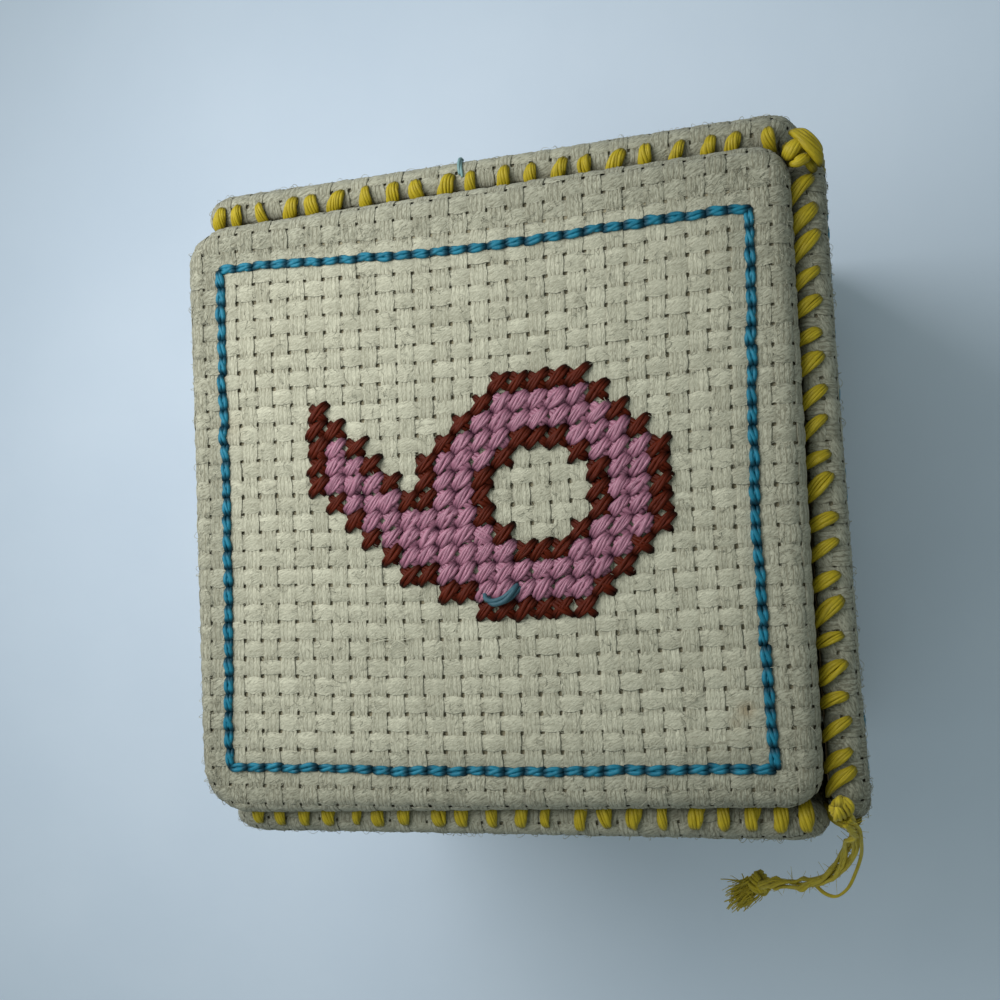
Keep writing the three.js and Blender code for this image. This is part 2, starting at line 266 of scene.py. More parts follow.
class Cotton(Enum):
    """The cube's threads, each by its clean, streaked and deep colours."""

    # Each thread's deep colour is painted shade, where it dives into a hole or lies between threads.
    # Woven and unglazed: matt and woolly; the hole between its blocks is darkened with painted shade.
    AIDA_COTTON = AidaCotton()
    # Mercerised and twisted: plump, warm yellow strands with a low gleam.
    MUSTARD_STRANDED_COTTON = StrandedCotton(0xBBA726, 0x877618, 0x3A3208)
    # A lighter copy of the mustard for the hanging end: painted light, so that it reads as lit in the cube's
    # shadow. It is also rougher, with a little sheen.
    LOOSENED_MUSTARD_COTTON = StrandedCotton(0xC4B12C, 0x978520, 0x514610, roughness=0.6, sheen=0.08)
    # Mercerised and pulled tight: clear blue beads, with painted shade at the ends where they dive.
    BLUE_STRANDED_COTTON = StrandedCotton(0x227F99, 0x0F566C, 0x001F2C)
    # Mercerised and laid side by side: the silkiest of them.
    PINK_STRANDED_COTTON = StrandedCotton(0xB0768B, 0x6E4054, 0x2A0E20, roughness=0.34, gleam=0.45)
    # Dyed deep: red-brown, with hardly a gleam.
    BROWN_STRANDED_COTTON = StrandedCotton(0x5C1D09, 0x3C1003, 0x100200, gleam=0.1)
    # Rubbed and soiled: a dull slate blue.
    SOILED_BLUE_COTTON = StrandedCotton(0x3F6470, 0x2F4C58, 0x16272E)
    # Faded: pale and greyish.
    FADED_BLUE_COTTON = StrandedCotton(0x86A6A6, 0x6A8C8D, 0x3B5655)

    def material(self) -> Material:
        """Makes the thread's material, under its own name."""
        return self.value.material(self.name.lower())


@dataclass(frozen=True)
class MottledStuff:
    """A plain, uneven stuff, mottled between two colours by a grain in millimetres that may be stretched."""

    light: int
    dark: int
    grain: float
    roughness: float
    bump: float
    stretch: float = 1.0

    def material(self, name: str) -> Material:
        """Makes the material.

        Args:
            name: the material's name.

        Returns:
            The new material.
        """
        material, tree = bare_material(name)
        place = add_node(tree, "ShaderNodeTexCoord").outputs["Object"]
        per_metre = 1 / (self.grain * METRES)
        sizes = (per_metre / self.stretch, per_metre, per_metre)
        sized = add_node(tree, MAPPING, links={0: place, "Scale": sizes})
        cloudy = {0: sized.outputs[0], "Scale": 1.0, "Detail": 4.0}
        grains = add_node(tree, NOISE, links=cloudy).outputs["Fac"]
        share = add_node(tree, RANGE, links={"Value": grains, "From Min": 0.3, "From Max": 0.7}).outputs[0]
        colour = add_node(tree, MIX, COLOURS, {0: share, 6: linear(self.light), 7: linear(self.dark)})
        stands = {"Strength": self.bump, "Distance": 0.3 * self.grain * METRES, "Height": grains}
        surface = {
            "Base Color": colour.outputs[2],
            "Roughness": self.roughness,
            "Normal": add_node(tree, "ShaderNodeBump", links=stands).outputs[0],
        }
        shader = add_node(tree, "ShaderNodeBsdfPrincipled", links=surface)
        add_node(tree, "ShaderNodeOutputMaterial", links={"Surface": shader.outputs[0]})
        return material


class Stuff(Enum):
    """The cube's other stuffs and the table's."""

    # The woven cloth's underside: straw-coloured and in shade, seen only through the holes.
    SHADED_BACKING = MottledStuff(0xA39A7E, 0x8A826A, grain=0.4, roughness=0.95, bump=0.4)
    # Carded polyester: off-white, with long soft fibres.
    POLYESTER_WADDING = MottledStuff(0xE9E7DF, 0xDAD7CC, grain=0.6, roughness=0.9, bump=0.6, stretch=4.0)
    # Pulped and pressed: grey-brown, with a faint fleck.
    GREY_BOARD = MottledStuff(0xB59F7C, 0x9F8A69, grain=0.5, roughness=0.85, bump=0.3)
    # Blown polyurethane: pale yellow, with open pores.
    UPHOLSTERY_FOAM = MottledStuff(0xE6DCA8, 0xCFC48D, grain=0.9, roughness=0.95, bump=0.8)
    # Rolled paint: an even pale coat, barely clouded.
    PAINTED_BOARD = MottledStuff(0xD9E6F6, 0xD3E1F2, grain=40.0, roughness=0.6, bump=0.05)

    def material(self) -> Material:
        """Makes the stuff's material, under its own name."""
        return self.value.material(self.name.lower())


def unit(vectors: Array) -> Array:
    """Scales vectors to a length of one, along the last axis."""
    return vectors / np.maximum(np.linalg.norm(vectors, axis=-1, keepdims=True), 1e-9)


def eased(share: Array) -> Array:
    """Turns shares into a smooth step from 0 to 1."""
    held = np.clip(share, 0.0, 1.0)
    return held * held * (3.0 - 2.0 * held)


def rounded_route(points: tuple[Place, ...], steps: int) -> Array:
    """Runs a smooth curve through given points.

    Args:
        points: the route's points.
        steps: how many steps the curve takes between two points.

    Returns:
        The curve's points, one row each.
    """
    points = np.array(points)
    held = np.vstack([2 * points[0] - points[1], points, 2 * points[-1] - points[-2]])
    share = np.linspace(0.0, 1.0, steps, endpoint=False)[:, None]
    pieces = []
    for before, start, end, after in zip(held, held[1:], held[2:], held[3:]):
        bend = 2 * before - 5 * start + 4 * end - after
        twist = 3 * start - before - 3 * end + after
        pieces.append(start + 0.5 * (share * (end - before) + share**2 * bend + share**3 * twist))
    return np.vstack([*pieces, points[-1:]])


class ThreadMesh:
    """Gathers the rings of one piece's threads, each with its place along its own thread."""

    def __init__(self, strip_shape: float) -> None:
        """Starts an empty mesh.

        Args:
            strip_shape: a thread's length over its girth, which shapes its strip in the unwrapped map.
        """
        self.strip_shape = strip_shape
        self.points: list[Array] = []
        self.layers: dict[str, list[Array]] = {"thread": [], "tone": [], "furrow": []}
        self.faces: list[Array] = []
        self.maps: list[Array] = []
        self.total = 0
        self.strips = 0

    def add_rings(
        self, rings: Array, threads: Array, tones: Array, furrows: Array | tuple[float, ...] = (0.5, 0.0, 0.0)
    ) -> None:
        """Skins rings of points into closed tubes with flat ends.

        Args:
            rings: places, by tube, ring and point round the ring.
            threads: the place along, across and up in each thread, in millimetres, in the same order.
            tones: each point's chance value, painted shade and soil, in the same order.
            furrows: how many threads of a bundle lie before the point, how dark the painted shade lines
                between
            them are, and how stained it is, in the same order.
        """
        tubes, steps, sides, _ = rings.shape
        first = self.total + np.arange(tubes)[:, None, None] * steps * sides
        ring = np.arange(steps)[None, :, None] * sides
        spoke = np.arange(sides)[None, None, :]
        after = (spoke + 1) % sides
        low, high = first + ring[:, :-1], first + ring[:, 1:]
        skin = np.stack([low + spoke, low + after, high + after, high + spoke], axis=-1)
        strip = (self.strips + np.arange(tubes))[:, None, None] + 0.0 * low + 0.0 * spoke
        left = np.arange(steps - 1)[None, :, None] / (steps - 1) + 0.0 * strip
        right = left + 1.0 / (steps - 1)
        bottom, top = spoke / sides + 0.0 * strip, (spoke + 1) / sides + 0.0 * strip
        across = np.stack([left, left, right, right], axis=-1)
        round_it = np.stack([bottom, top, top, bottom], axis=-1)
        strip_corners = np.repeat(strip[..., None], 4, axis=-1)
        self.faces.append(skin.reshape(-1, 4))
        self.maps.append(np.stack([strip_corners, across, round_it], axis=-1).reshape(-1, 4, 3))
        for end, turn in ((0, -1), (steps - 1, 1)):
            cap = (first[:, 0] + end * sides + np.arange(sides)[None, :])[:, ::turn]
            spread = np.broadcast_to((np.arange(sides) / sides)[None, ::turn], cap.shape)
            place = np.full(cap.shape, float(end > 0))
            order = np.broadcast_to((self.strips + np.arange(tubes))[:, None], cap.shape)
            self.faces.append(cap)
            self.maps.append(np.stack([order, place, spread], axis=-1))
        self.points.append(rings.reshape(-1, 3))
        for parts, values in zip(self.layers.values(), (threads, tones, furrows)):
            parts.append(np.broadcast_to(values, rings.shape).reshape(-1, 3))
        self.total += tubes * steps * sides
        self.strips += tubes

    def add_strands(
        self,
        lines: Array,
        radii: Array | float,
        sides: int,
        rng: Chances,
        shade: Array | float = 0.0,
        soil: Array | float = 0.0,
    ) -> None:
        """Adds round strands along many lines at once.

        Args:
            lines: the strands' centres, by strand and step.
            radii: the strands' radii, by strand and step.
            sides: how many sides a strand has.
            rng: the source of each strand's own tone.
            shade: how much painted shade each step gets, from 0 to 1.
            soil: how soiled each step is, from 0 to 1.
        """
        count, steps, _ = lines.shape
        chance = rng.uniform(size=count)[:, None, None]
        ahead = unit(np.gradient(lines, axis=1))
        aside = np.zeros_like(ahead)
        spare = np.where(np.abs(ahead[:, :1, 2:]) < 0.8, [[[0.0, 0.0, 1.0]]], [[[1.0, 0.0, 0.0]]])
        aside[:, 0] = unit(np.cross(ahead[:, :1], spare))[:, 0]
        for step in range(1, steps):
            kept = aside[:, step - 1]
            along = np.sum(kept * ahead[:, step], axis=-1, keepdims=True)
            aside[:, step] = unit(kept - along * ahead[:, step])
        over = np.cross(ahead, aside)
        turns = np.arange(sides) * math.tau / sides
        out = aside[:, :, None] * np.cos(turns)[:, None] + over[:, :, None] * np.sin(turns)[:, None]
        wide = np.broadcast_to(radii, (count, steps))[:, :, None]
        rings = lines[:, :, None] + wide[..., None] * out
        gone = np.cumsum(np.linalg.norm(np.diff(lines, axis=1, prepend=lines[:, :1]), axis=-1), axis=1)
        # Each strand starts at its own place in the material's noise.
        far = gone[:, :, None] + 41.0 * chance + 0.0 * turns
        threads = np.stack([far, wide * np.cos(turns), wide * np.sin(turns)], axis=-1)
        tones = [chance, *(np.broadcast_to(tone, (count, steps))[:, :, None] for tone in (shade, soil))]
        self.add_rings(rings, threads, np.stack([tone + 0.0 * far for tone in tones], axis=-1))

    def build(self, name: str, finish: Material, slot: str, *nodes: str) -> Piece:
        """Makes the piece from what was gathered, and sets it in the frame.

        Args:
            name: the piece's name.
            finish: its material.
            slot: passed on, but not used.
            *nodes: the CAD nodes that it hides and takes the place of.

        Returns:
            The new object.
        """
        mesh = bpy.data.meshes.new(name)
        places = np.concatenate(self.points) * METRES
        sizes = np.concatenate([np.full(len(part), part.shape[1]) for part in self.faces])
        corners = np.concatenate([part.ravel() for part in self.faces])
        mesh.vertices.add(len(places))
        mesh.vertices.foreach_set("co", places.astype(np.float32).ravel())
        mesh.loops.add(len(corners))
        mesh.loops.foreach_set("vertex_index", corners.astype(np.int32))
        mesh.polygons.add(len(sizes))
        starts = np.concatenate([[0], np.cumsum(sizes)[:-1]])
        mesh.polygons.foreach_set("loop_start", starts.astype(np.int32))
        mesh.update(calc_edges=True)
        mesh.polygons.foreach_set("use_smooth", np.ones(len(sizes), bool))
        for label, parts in self.layers.items():
            layer = mesh.attributes.new(label, "FLOAT_VECTOR", "POINT")
            layer.data.foreach_set("vector", np.concatenate(parts).astype(np.float32).ravel())
        self.unwrap(mesh)
        mesh.materials.append(finish)
        log.info("%s: %d triangles", name, int(np.sum(sizes - 2)))
        return mounted(mesh, slot, *nodes)

    def unwrap(self, mesh: bpy.types.Mesh) -> None:
        """Lays each thread's skin as one strip of a grid, so that a baked picture keeps its detail.

        Args:
            mesh: the mesh that gets the map.
        """
        strip, across, round_it = np.concatenate([part.reshape(-1, 3) for part in self.maps]).T
        columns = max(1, round(math.sqrt(self.strips / self.strip_shape)))
        rows = math.ceil(self.strips / columns)
        margin = 0.04
        left = (strip % columns + margin + (1 - 2 * margin) * across) / columns
        low = (strip // columns + margin + (1 - 2 * margin) * round_it) / rows
        layer = mesh.uv_layers.new(name="OFBake")
        layer.data.foreach_set("uv", np.stack([left, low], axis=-1).astype(np.float32).ravel())


def placed(data: bpy.types.ID) -> Piece:
    """Puts a mesh, light or camera in the scene as an object of the same name.

    Args:
        data: the mesh, light or camera.

    Returns:
        The new object.
    """
    piece = bpy.data.objects.new(data.name, data)
    bpy.context.scene.collection.objects.link(piece)
    return piece


def mounted(mesh: bpy.types.Mesh, slot: str, *nodes: str) -> Piece:
    """Puts a mesh on the root body as a piece in place of CAD nodes, and hides those nodes.

    Args:
        mesh: the piece's mesh.
        slot: not used.
        *nodes: the CAD nodes that it hides and takes the place of.

    Returns:
        The new piece.
    """
    piece = placed(mesh)
    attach(piece, ROOT)
    if nodes:
        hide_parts(*nodes)
    return piece


@dataclass(frozen=True)
class Lay:
    """How a panel and its cloth stray from square in the hand sewing, along the panel's right, up and out."""

    out_shift: float = 0.0
    out_per_right: float = 0.0
    out_per_up: float = 0.0
    hollow: float = 0.0
    right_scale: float = 1.0
    right_shift: float = 0.0
    right_per_up: float = 0.0
    up_per_right: float = 0.0
    up_scale: float = 1.0
    up_shift: float = 0.0
    # How the cloth's squares lie: right by right, right by up, up by right and up by up, then the shift.
    grain: tuple[float, float, float, float] = (1.00557, 0.0, 0.0, 0.97341)
    grain_shift: tuple[float, float] = (0.0, 0.0)
    # How far the cloth's rows bow at the border's top, bottom, left and right, in millimetres up and right.
    bows: tuple[float, float, float, float] = (-0.4, 0.3, 0.3, -0.3)
    # The corners' radii in millimetres: upper right, lower right, lower left and upper left.
    corners: tuple[float, float, float, float] = (3.2, 3.2, 3.2, 3.2)
    # How soiled the cloth's edges are; on the right panel the larger amount is painted shade for its shaded
    # side.
    soil_and_shade: float = 0.42


@dataclass(frozen=True)
class Face:
    """Where one panel faces, which numeral it carries and how it lies."""

    name: str
    out: tuple[int, int, int]
    up: tuple[int, int, int]
    numeral: str
    lay: Lay


class Side(Enum):
    """The cube's six sides, as the record names them."""

    TOP = Face(
        "top", (0, 0, 1), (0, 1, 0), "six",
        Lay(
            right_per_up=0.0073, up_per_right=0.0136, up_scale=0.9795,
            grain=(1.0125, 0.0082, -0.022, 0.97341), grain_shift=(-0.04, -0.78),
            bows=(-0.95, -0.4, 0.3, -0.72), corners=(2.0, 1.8, 4.4, 3.4),
        ),
    )
    BOTTOM = Face("bottom", (0, 0, -1), (0, 1, 0), "one", Lay(grain=(1.0, 0.006, -0.004, 0.98)))
    FRONT = Face(
        "front", (0, -1, 0), (0, 0, 1), "two",
        Lay(
            out_shift=-0.51, out_per_right=0.0069, hollow=0.4, corners=(2.6, 3.2, 3.2, 6.0),
            grain=(1.004, -0.006, 0.008, 0.976), grain_shift=(0.3, 0.2),
        ),
    )
    BACK = Face(
        "back", (0, 1, 0), (0, 0, 1), "five",
        Lay(
            out_shift=0.71, out_per_right=-0.0068, hollow=0.5,
            right_scale=1.016, right_shift=-0.75, corners=(3.4, 3.2, 3.2, 1.8),
            grain=(1.003, 0.007, -0.006, 0.978), grain_shift=(-0.3, 0.3),
        ),
    )
    LEFT = Face(
        "left", (-1, 0, 0), (0, 0, 1), "three",
        Lay(
            out_shift=-1.26, up_scale=0.992, up_shift=-0.3,
            grain=(1.005, 0.004, 0.005, 0.975), grain_shift=(0.2, -0.3),
        ),
    )
    RIGHT = Face(
        "right", (1, 0, 0), (0, 0, 1), "four",
        Lay(
            out_shift=0.33, out_per_right=-0.0077, out_per_up=0.019, hollow=1.25,
            # Its edges' larger soil is partly painted shade, for this side's shade.
            right_scale=1.006, right_shift=-0.95, corners=(2.4, 3.0, 3.0, 2.2), soil_and_shade=0.55,
            grain=(1.004, -0.005, -0.007, 0.977), grain_shift=(0.1, 0.4),
        ),
    )


@dataclass(frozen=True)
class CubeSizes:
    """The cube's sizes in millimetres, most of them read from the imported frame."""

    middle: float
    panel_half: float
    panel_offset: float
    border_half: float
    foam_half: float
    cells: int = 28
    roll: float = 2.2
    card_to_mid: float = 0.1
    crown: float = 0.1
    stitch_dip: float = 0.25
    dip_width: float = 1.3
    cloth_roll: float = 2.1

    @classmethod
    def from_frame(cls) -> "CubeSizes":
        """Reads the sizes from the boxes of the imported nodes.

        Returns:
            The cube's sizes.
        """
        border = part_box("border_top")[1]
        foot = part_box("border_bottom")[0].z
        middle = (foot + border.z) / 2 / METRES
        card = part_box("card_top")[1].z / METRES
        stitch_half_width = 0.5
        return cls(
            middle=middle,
            panel_half=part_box("aida_top")[1].x / METRES,
            panel_offset=card + cls.card_to_mid - middle,
            border_half=border.x / METRES - stitch_half_width,
            foam_half=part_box("foam_core")[1].x / METRES,
        )

    @property
    def flat_half(self) -> float:
        """Half the width of a panel's flat part, inside its rolled edge."""
        return self.panel_half - self.roll

    @property
    def cell(self) -> float:
        """The pitch of the cloth's holes."""
        return 2 * self.border_half / self.cells


class Panel:
    """One padded square of the cube: turns places on its cloth into places in the row frame."""

    def __init__(self, side: Side, sizes: CubeSizes) -> None:
        """Sets the panel's axes.

        Args:
            side: which side of the cube it covers.
            sizes: the cube's sizes.
        """
        self.face = side.value
        self.sizes = sizes
        self.out = np.array(self.face.out, float)
        self.up = np.array(self.face.up, float)
        self.right = np.cross(self.up, self.out)
        self.seed = list(Side).index(side)

    def place(self, right: Array, up: Array, out: Array | float) -> Array:
        """Turns a place in the panel into the row frame.

        Args:
            right: how far it is to the right of the panel's middle.
            up: how far it is above the panel's middle.
            out: how far it is outside the panel's middle plane.

        Returns:
            Places in the row frame, in millimetres.
        """
        lay = self.face.lay
        right, up, out = np.broadcast_arrays(right, up, out)
        along = lay.right_scale * right + lay.right_shift + lay.right_per_up * up
        above = lay.up_scale * up + lay.up_per_right * right + lay.up_shift
        reach = self.sizes.panel_half
        bowl = np.clip(1 - (right / reach) ** 4, 0, 1) * np.clip(1 - (up / reach) ** 4, 0, 1)
        lean = lay.out_per_right * right + lay.out_per_up * up - lay.hollow * bowl
        outside = out + self.sizes.panel_offset + lay.out_shift + lean
        middle = np.array([0.0, 0.0, self.sizes.middle])
        flat = middle + along[..., None] * self.right + above[..., None] * self.up
        return flat + outside[..., None] * self.out

    def on_cloth(self, across: Array, down: Array) -> tuple[Array, Array]:
        """Turns squares of the cloth into places in the panel.

        Args:
            across: squares from the border's left.
            down: squares from the border's top.

        Returns:
            How far right and up in the panel they lie, in millimetres.
        """
        grain, shift = self.face.lay.grain, self.face.lay.grain_shift
        half = self.sizes.cells / 2
        share, rise = np.asarray(across) / half - 1, 1 - np.asarray(down) / half
        right, up = share * self.sizes.border_half, rise * self.sizes.border_half
        top, bottom, left_side, right_side = self.face.lay.bows
        sag = (top * (1 + rise) + bottom * (1 - rise)) / 2 * np.clip(1 - share**2, 0, 1) ** 2
        pull = (right_side * (1 + share) + left_side * (1 - share)) / 2 * np.clip(1 - rise**2, 0, 1) ** 2
        return (
            grain[0] * right + grain[1] * up + shift[0] + pull,
            grain[2] * right + grain[3] * up + shift[1] + sag,
        )

    def overhang(self, right: Array, up: Array) -> tuple[Array, Array, Array]:
        """Finds how far a place of the flat cloth lies past the panel's flat part.

        Args:
            right: places to the right of the middle.
            up: places above the middle.

        Returns:
            The distance past the flat part, below zero on it, the nearest point of its edge, and the way out.
        """
        flat = self.sizes.flat_half
        place = np.stack(np.broadcast_arrays(right, up), axis=-1)
        upper_right, lower_right, lower_left, upper_left = self.face.lay.corners
        above = place[..., 1] > 0
        on_right = np.where(above, upper_right, lower_right)
        radius = np.where(place[..., 0] > 0, on_right, np.where(above, upper_left, lower_left))
        past = np.abs(place) - (flat - radius)[..., None]
        corner = np.all(past > 0, axis=-1)
        far = np.linalg.norm(past, axis=-1)
        first = past[..., 0] >= past[..., 1]
        sideways = np.stack([first, ~first], axis=-1).astype(float)
        outward = np.where(corner[..., None], past / np.maximum(far, 1e-9)[..., None], sideways)
        distance = np.where(corner, far - radius, np.max(past, axis=-1) - radius)
        outward = outward * np.where(place < 0, -1.0, 1.0)
        return distance, place - distance[..., None] * outward, outward

    def past_edge(self, across: Array, down: Array) -> Array:
        """Finds how far squares of the cloth lie past the panel's flat part."""
        return self.overhang(*self.on_cloth(across, down))[0]

    def crowned(self, distance: Array) -> Array:
        """Finds how high the cloth stands inside its edge: it dips where the border pulls it, then rises.

        Args:
            distance: how far past the panel's flat part each place lies, below zero on it.

        Returns:
            The rise over the edge's roll, in millimetres.
        """
        sizes = self.sizes
        from_border = -distance - (sizes.flat_half - sizes.border_half)
        dip = sizes.stitch_dip * np.exp(-((from_border / sizes.dip_width) ** 2))
        return sizes.crown * eased(from_border / sizes.cell) - dip

    def surface(self, across: Array, down: Array, height: Array) -> Array:
        """Lays a place of the cloth on the panel, crowned in the middle and rolled round its edge.

        Args:
            across: squares from the border's left.
            down: squares from the border's top.
            height: how far it stands off the cloth's own middle, in millimetres.

        Returns:
            Places in the row frame, in millimetres.
        """
        right, up = self.on_cloth(across, down)
        distance, foot, outward = self.overhang(right, up)
        height = np.broadcast_to(height, distance.shape)
        roll = self.sizes.cloth_roll
        swing = np.maximum(distance, 0.0) / roll
        rolled = foot + outward * ((roll + height) * np.sin(swing))[..., None]
        flat = np.stack(np.broadcast_arrays(right, up), axis=-1)
        lying = np.where((distance > 0)[..., None], rolled, flat)
        out = (roll + height) * np.cos(swing) + self.crowned(distance)
        return self.place(lying[..., 0], lying[..., 1], out)


@dataclass(frozen=True)
class Bundle:
    """The form of one kind of bundle of four threads.

    Width is in squares: the width where it dives, and what it gains at a crossing. Top and ridges run
    across its upper side: each point's place from -1 to 1, and how much of the groove's depth it has.
    Groove is what that depth gains where the bundle dives, as a share of its thickness. Line is how dark
    the painted shade lines between the threads are at a crossing, and what they gain where it dives, at what
    power. Dome is how much the sides drop, and at what power. Twist is how fast the fibres lean round it, and
    edge line gain how much darker the painted shade lines are towards the panel's edge.
    """

    width: tuple[float, float]
    top: tuple[float, ...]
    ridges: tuple[float, ...]
    groove: float
    thickness: float
    line: tuple[float, float, float]
    dome: tuple[float, float]
    twist: float
    edge_line_gain: float
    first_line: float


WARP = Bundle(
    width=(0.81, 0.15),
    top=(-1, -0.93, -0.72, -0.48, -0.24, 0, 0.24, 0.48, 0.72, 0.93, 1),
    ridges=(0.6, 0.2, 0, 1, 0, 1, 0, 1, 0, 0.2, 0.6),
    groove=0.3,
    thickness=0.15,
    line=(0.3, 0.7, 1.5),
    dome=(0.45, 3),
    twist=0.12,
    edge_line_gain=0.5,
    first_line=0.0,
)
WEFT = Bundle(
    width=(0.74, 0.25),
    top=(-1, -0.92, -0.45, 0, 0.45, 0.92, 1),
    ridges=(0.6, 0.3, 0, 1, 0, 0.3, 0.6),
    groove=0.1,
    thickness=0.16,
    line=(0.1, 0.25, 2),
    dome=(0.75, 2.5),
    twist=0.45,
    edge_line_gain=0.0,
    first_line=0.5,
)


@dataclass(frozen=True)
class Unevenness:
    """How far the bundles stray: shares of sizes and tones, squares aside, and millimetres in height."""

    width: float = 0.06
    thickness: float = 0.12
    tone: float = 0.12
    aside: float = 0.022
    thread_aside: float = 0.012
    height: float = 0.025
    thread_height: float = 0.02
    wool: float = 0.025


@dataclass
class AidaCover:
    """The cloth of one panel: warp and weft bundles that pass over and under, on a shaded backing."""

    panel: Panel
    stray: Unevenness = Unevenness()
    steps: int = 5
    rise: float = 0.075
    wrap_degrees: float = 150.0
    hem: float = 10.0
    lining_roll: float = 1.84
    fray: int = 3600
    # Stains on the top panel: squares across and down, radius in squares, and strength.
    stains: tuple[tuple[float, float, float, float], ...] = (
        (26.9, 25.1, 0.7, 0.45), (26.4, 25.7, 0.5, 0.25), (0.4, 9.0, 1.4, 0.12),
    )

    def add_bundle(self, mesh: ThreadMesh, index: int, warp: bool, rng: Chances) -> None:
        """Weaves one bundle of four threads across the panel.

        Args:
            mesh: the mesh that gets it.
            index: which column or row of squares it runs in.
            warp: true for a bundle that runs up and down.
            rng: the source of its unevenness.
        """
        form = WARP if warp else WEFT
        panel, sizes, stray = self.panel, self.panel.sizes, self.stray
        reach = math.radians(self.wrap_degrees) * sizes.cloth_roll
        spare, probes, fewest = 4, 24, 48
        probe = np.linspace(-spare, sizes.cells + spare, probes * (sizes.cells + 2 * spare) + 1)
        middle = np.full_like(probe, index + 0.5)
        kept = probe[panel.past_edge(*((middle, probe) if warp else (probe, middle))) <= reach]
        if len(kept) < fewest:
            return
        count = max(4, round((kept[-1] - kept[0]) * self.steps))
        along = np.linspace(kept[0], kept[-1], count + 1)
        knots = np.arange(-spare - 1, sizes.cells + spare + 2)

        def uneven(spread: float, ways: int = 1) -> Array:
            """Draws a smooth unevenness along the bundle, one column for each way."""
            drawn = rng.normal(0.0, spread, (ways, len(knots)))
            return np.stack([np.interp(along, knots + 0.5, row) for row in drawn], axis=-1)

        top, ridges = np.array(form.top), np.array(form.ridges)
        sign = 1.0 if index % 2 else -1.0
        wave = (sign if warp else -sign) * np.cos(math.pi * (along - 0.5))
        flat = np.abs(wave)
        centre = np.full_like(along, index + 0.5)
        toward_edge = eased(1 + panel.past_edge(*((centre, along) if warp else (along, centre))) / 4.0)
        half_width = 0.5 * (form.width[0] + form.width[1] * flat)
        half_width = half_width * (1 + uneven(stray.width)[:, 0] + 0.05 * toward_edge)
        groove = 0.2 + form.groove * (1 - flat)
        # Painted shade in the lines between the threads: darker where the bundle dives and towards the
        # panel's edge.
        line = form.line[0] + form.line[1] * (1 - flat) ** form.line[2]
        line = line + form.edge_line_gain * toward_edge * (1 - line)
        thick = form.thickness * (1 + uneven(stray.thickness)[:, 0])
        dome = 1 - form.dome[0] * np.abs(top) ** form.dome[1]
        crest = dome[None, :] * (1 - groove[:, None] * ridges[None, :]) * thick[:, None]
        rough = uneven(stray.thread_height, len(top)) + rng.normal(0, stray.wool, crest.shape)
        crest = crest + rough * dome[None, :]
        belly = np.repeat(-0.8 * thick[:, None], 2, axis=1)
        middle_height = self.rise * (1.3 * wave - 0.3 * wave**3) + uneven(stray.height)[:, 0]
        heights = middle_height[:, None] + np.concatenate([crest, belly], axis=1)
        spread = np.concatenate([top + 0.0, [0.6, -0.6]])
        shifted = np.pad(uneven(stray.thread_aside, len(top)), ((0, 0), (0, 2)))
        aside = spread[None, :] * half_width[:, None] + shifted
        aside = (-aside if warp else aside) + uneven(stray.aside)
        level = np.broadcast_to(along[:, None], aside.shape)
        cross = index + 0.5 + aside
        across, down = (cross, level) if warp else (level, cross)
        rings = panel.surface(across, down, heights)
        chance = rng.uniform()
        # Each bundle starts at its own place in the material's noise.
        length = level * sizes.cell + 90.0 * chance
        threads = np.stack([length, aside * sizes.cell + 7.0 * index + form.twist * length, heights], axis=-1)
        tones = self.tones(across, down, wave, chance + uneven(stray.tone))
        counted = np.concatenate([2.0 * (top + 1) + form.first_line, [4.5, 0.0]])
        lines = line[:, None] + 0.0 * aside
        furrows = np.stack([counted + 0.0 * aside, lines, self.stained(across, down)], axis=-1)
        mesh.add_rings(rings[None], threads[None], tones[None], furrows[None])

    def tones(self, across: Array, down: Array, wave: Array, chance: Array) -> Array:
        """Works out a bundle's chance value, its painted shade where it dives, and its soil by the panel's
        edges, which on the right panel is partly painted shade.

        Args:
            across: squares from the border's left.
            down: squares from the border's top.
            wave: how high each step lies, from -1 under its neighbours to 1 over them.
            chance: the bundle's chance value at each step.

        Returns:
            The three tones of each point.
        """
        # Soil by the panel's edges; on the right panel its larger amount is painted shade.
        near_edge = eased(1 + self.panel.past_edge(across, down) / 7.0) * self.panel.face.lay.soil_and_shade
        ends = np.abs(across - 14) + np.abs(down - 14)
        corners = eased((ends - 22.0) / 8.0) * 0.25
        # Painted shade where the bundle dives under its neighbours.
        under = eased((0.3 - wave) / 0.9)[:, None] * 0.45 + 0.0 * across
        return np.stack([chance + 0.0 * across, under, near_edge + corners], axis=-1)

    def stained(self, across: Array, down: Array) -> Array:
        """Finds how stained each place of the cloth is, from 0 to 1.

        Args:
            across: squares from the border's left.
            down: squares from the border's top.

        Returns:
            The strength of the stain at each place.
        """
        amount = np.zeros_like(across)
        if self.panel.face.name == "top":
            for right, below, radius, strength in self.stains:
                far = np.hypot(across - right, down - below) / radius
                amount = np.maximum(amount, strength * eased(1 - far))
        return amount

    def weave(self, warp: bool, finish: Material) -> Piece:
        """Builds all the bundles that run one way, as one piece.

        Args:
            warp: true for those that run up and down.
            finish: the cloth's material.

        Returns:
            The new piece.
        """
        rng = np.random.default_rng(WEAVE_SEED + 2 * self.panel.seed + warp)
        mesh = ThreadMesh(strip_shape=16.0)
        for index in range(-4, self.panel.sizes.cells + 4):
            self.add_bundle(mesh, index, warp, rng)
        node = f"aida_{self.panel.face.name}"
        piece = mesh.build(f"{node}_{'warp' if warp else 'weft'}", finish, "aida_cloth", node)
        return piece

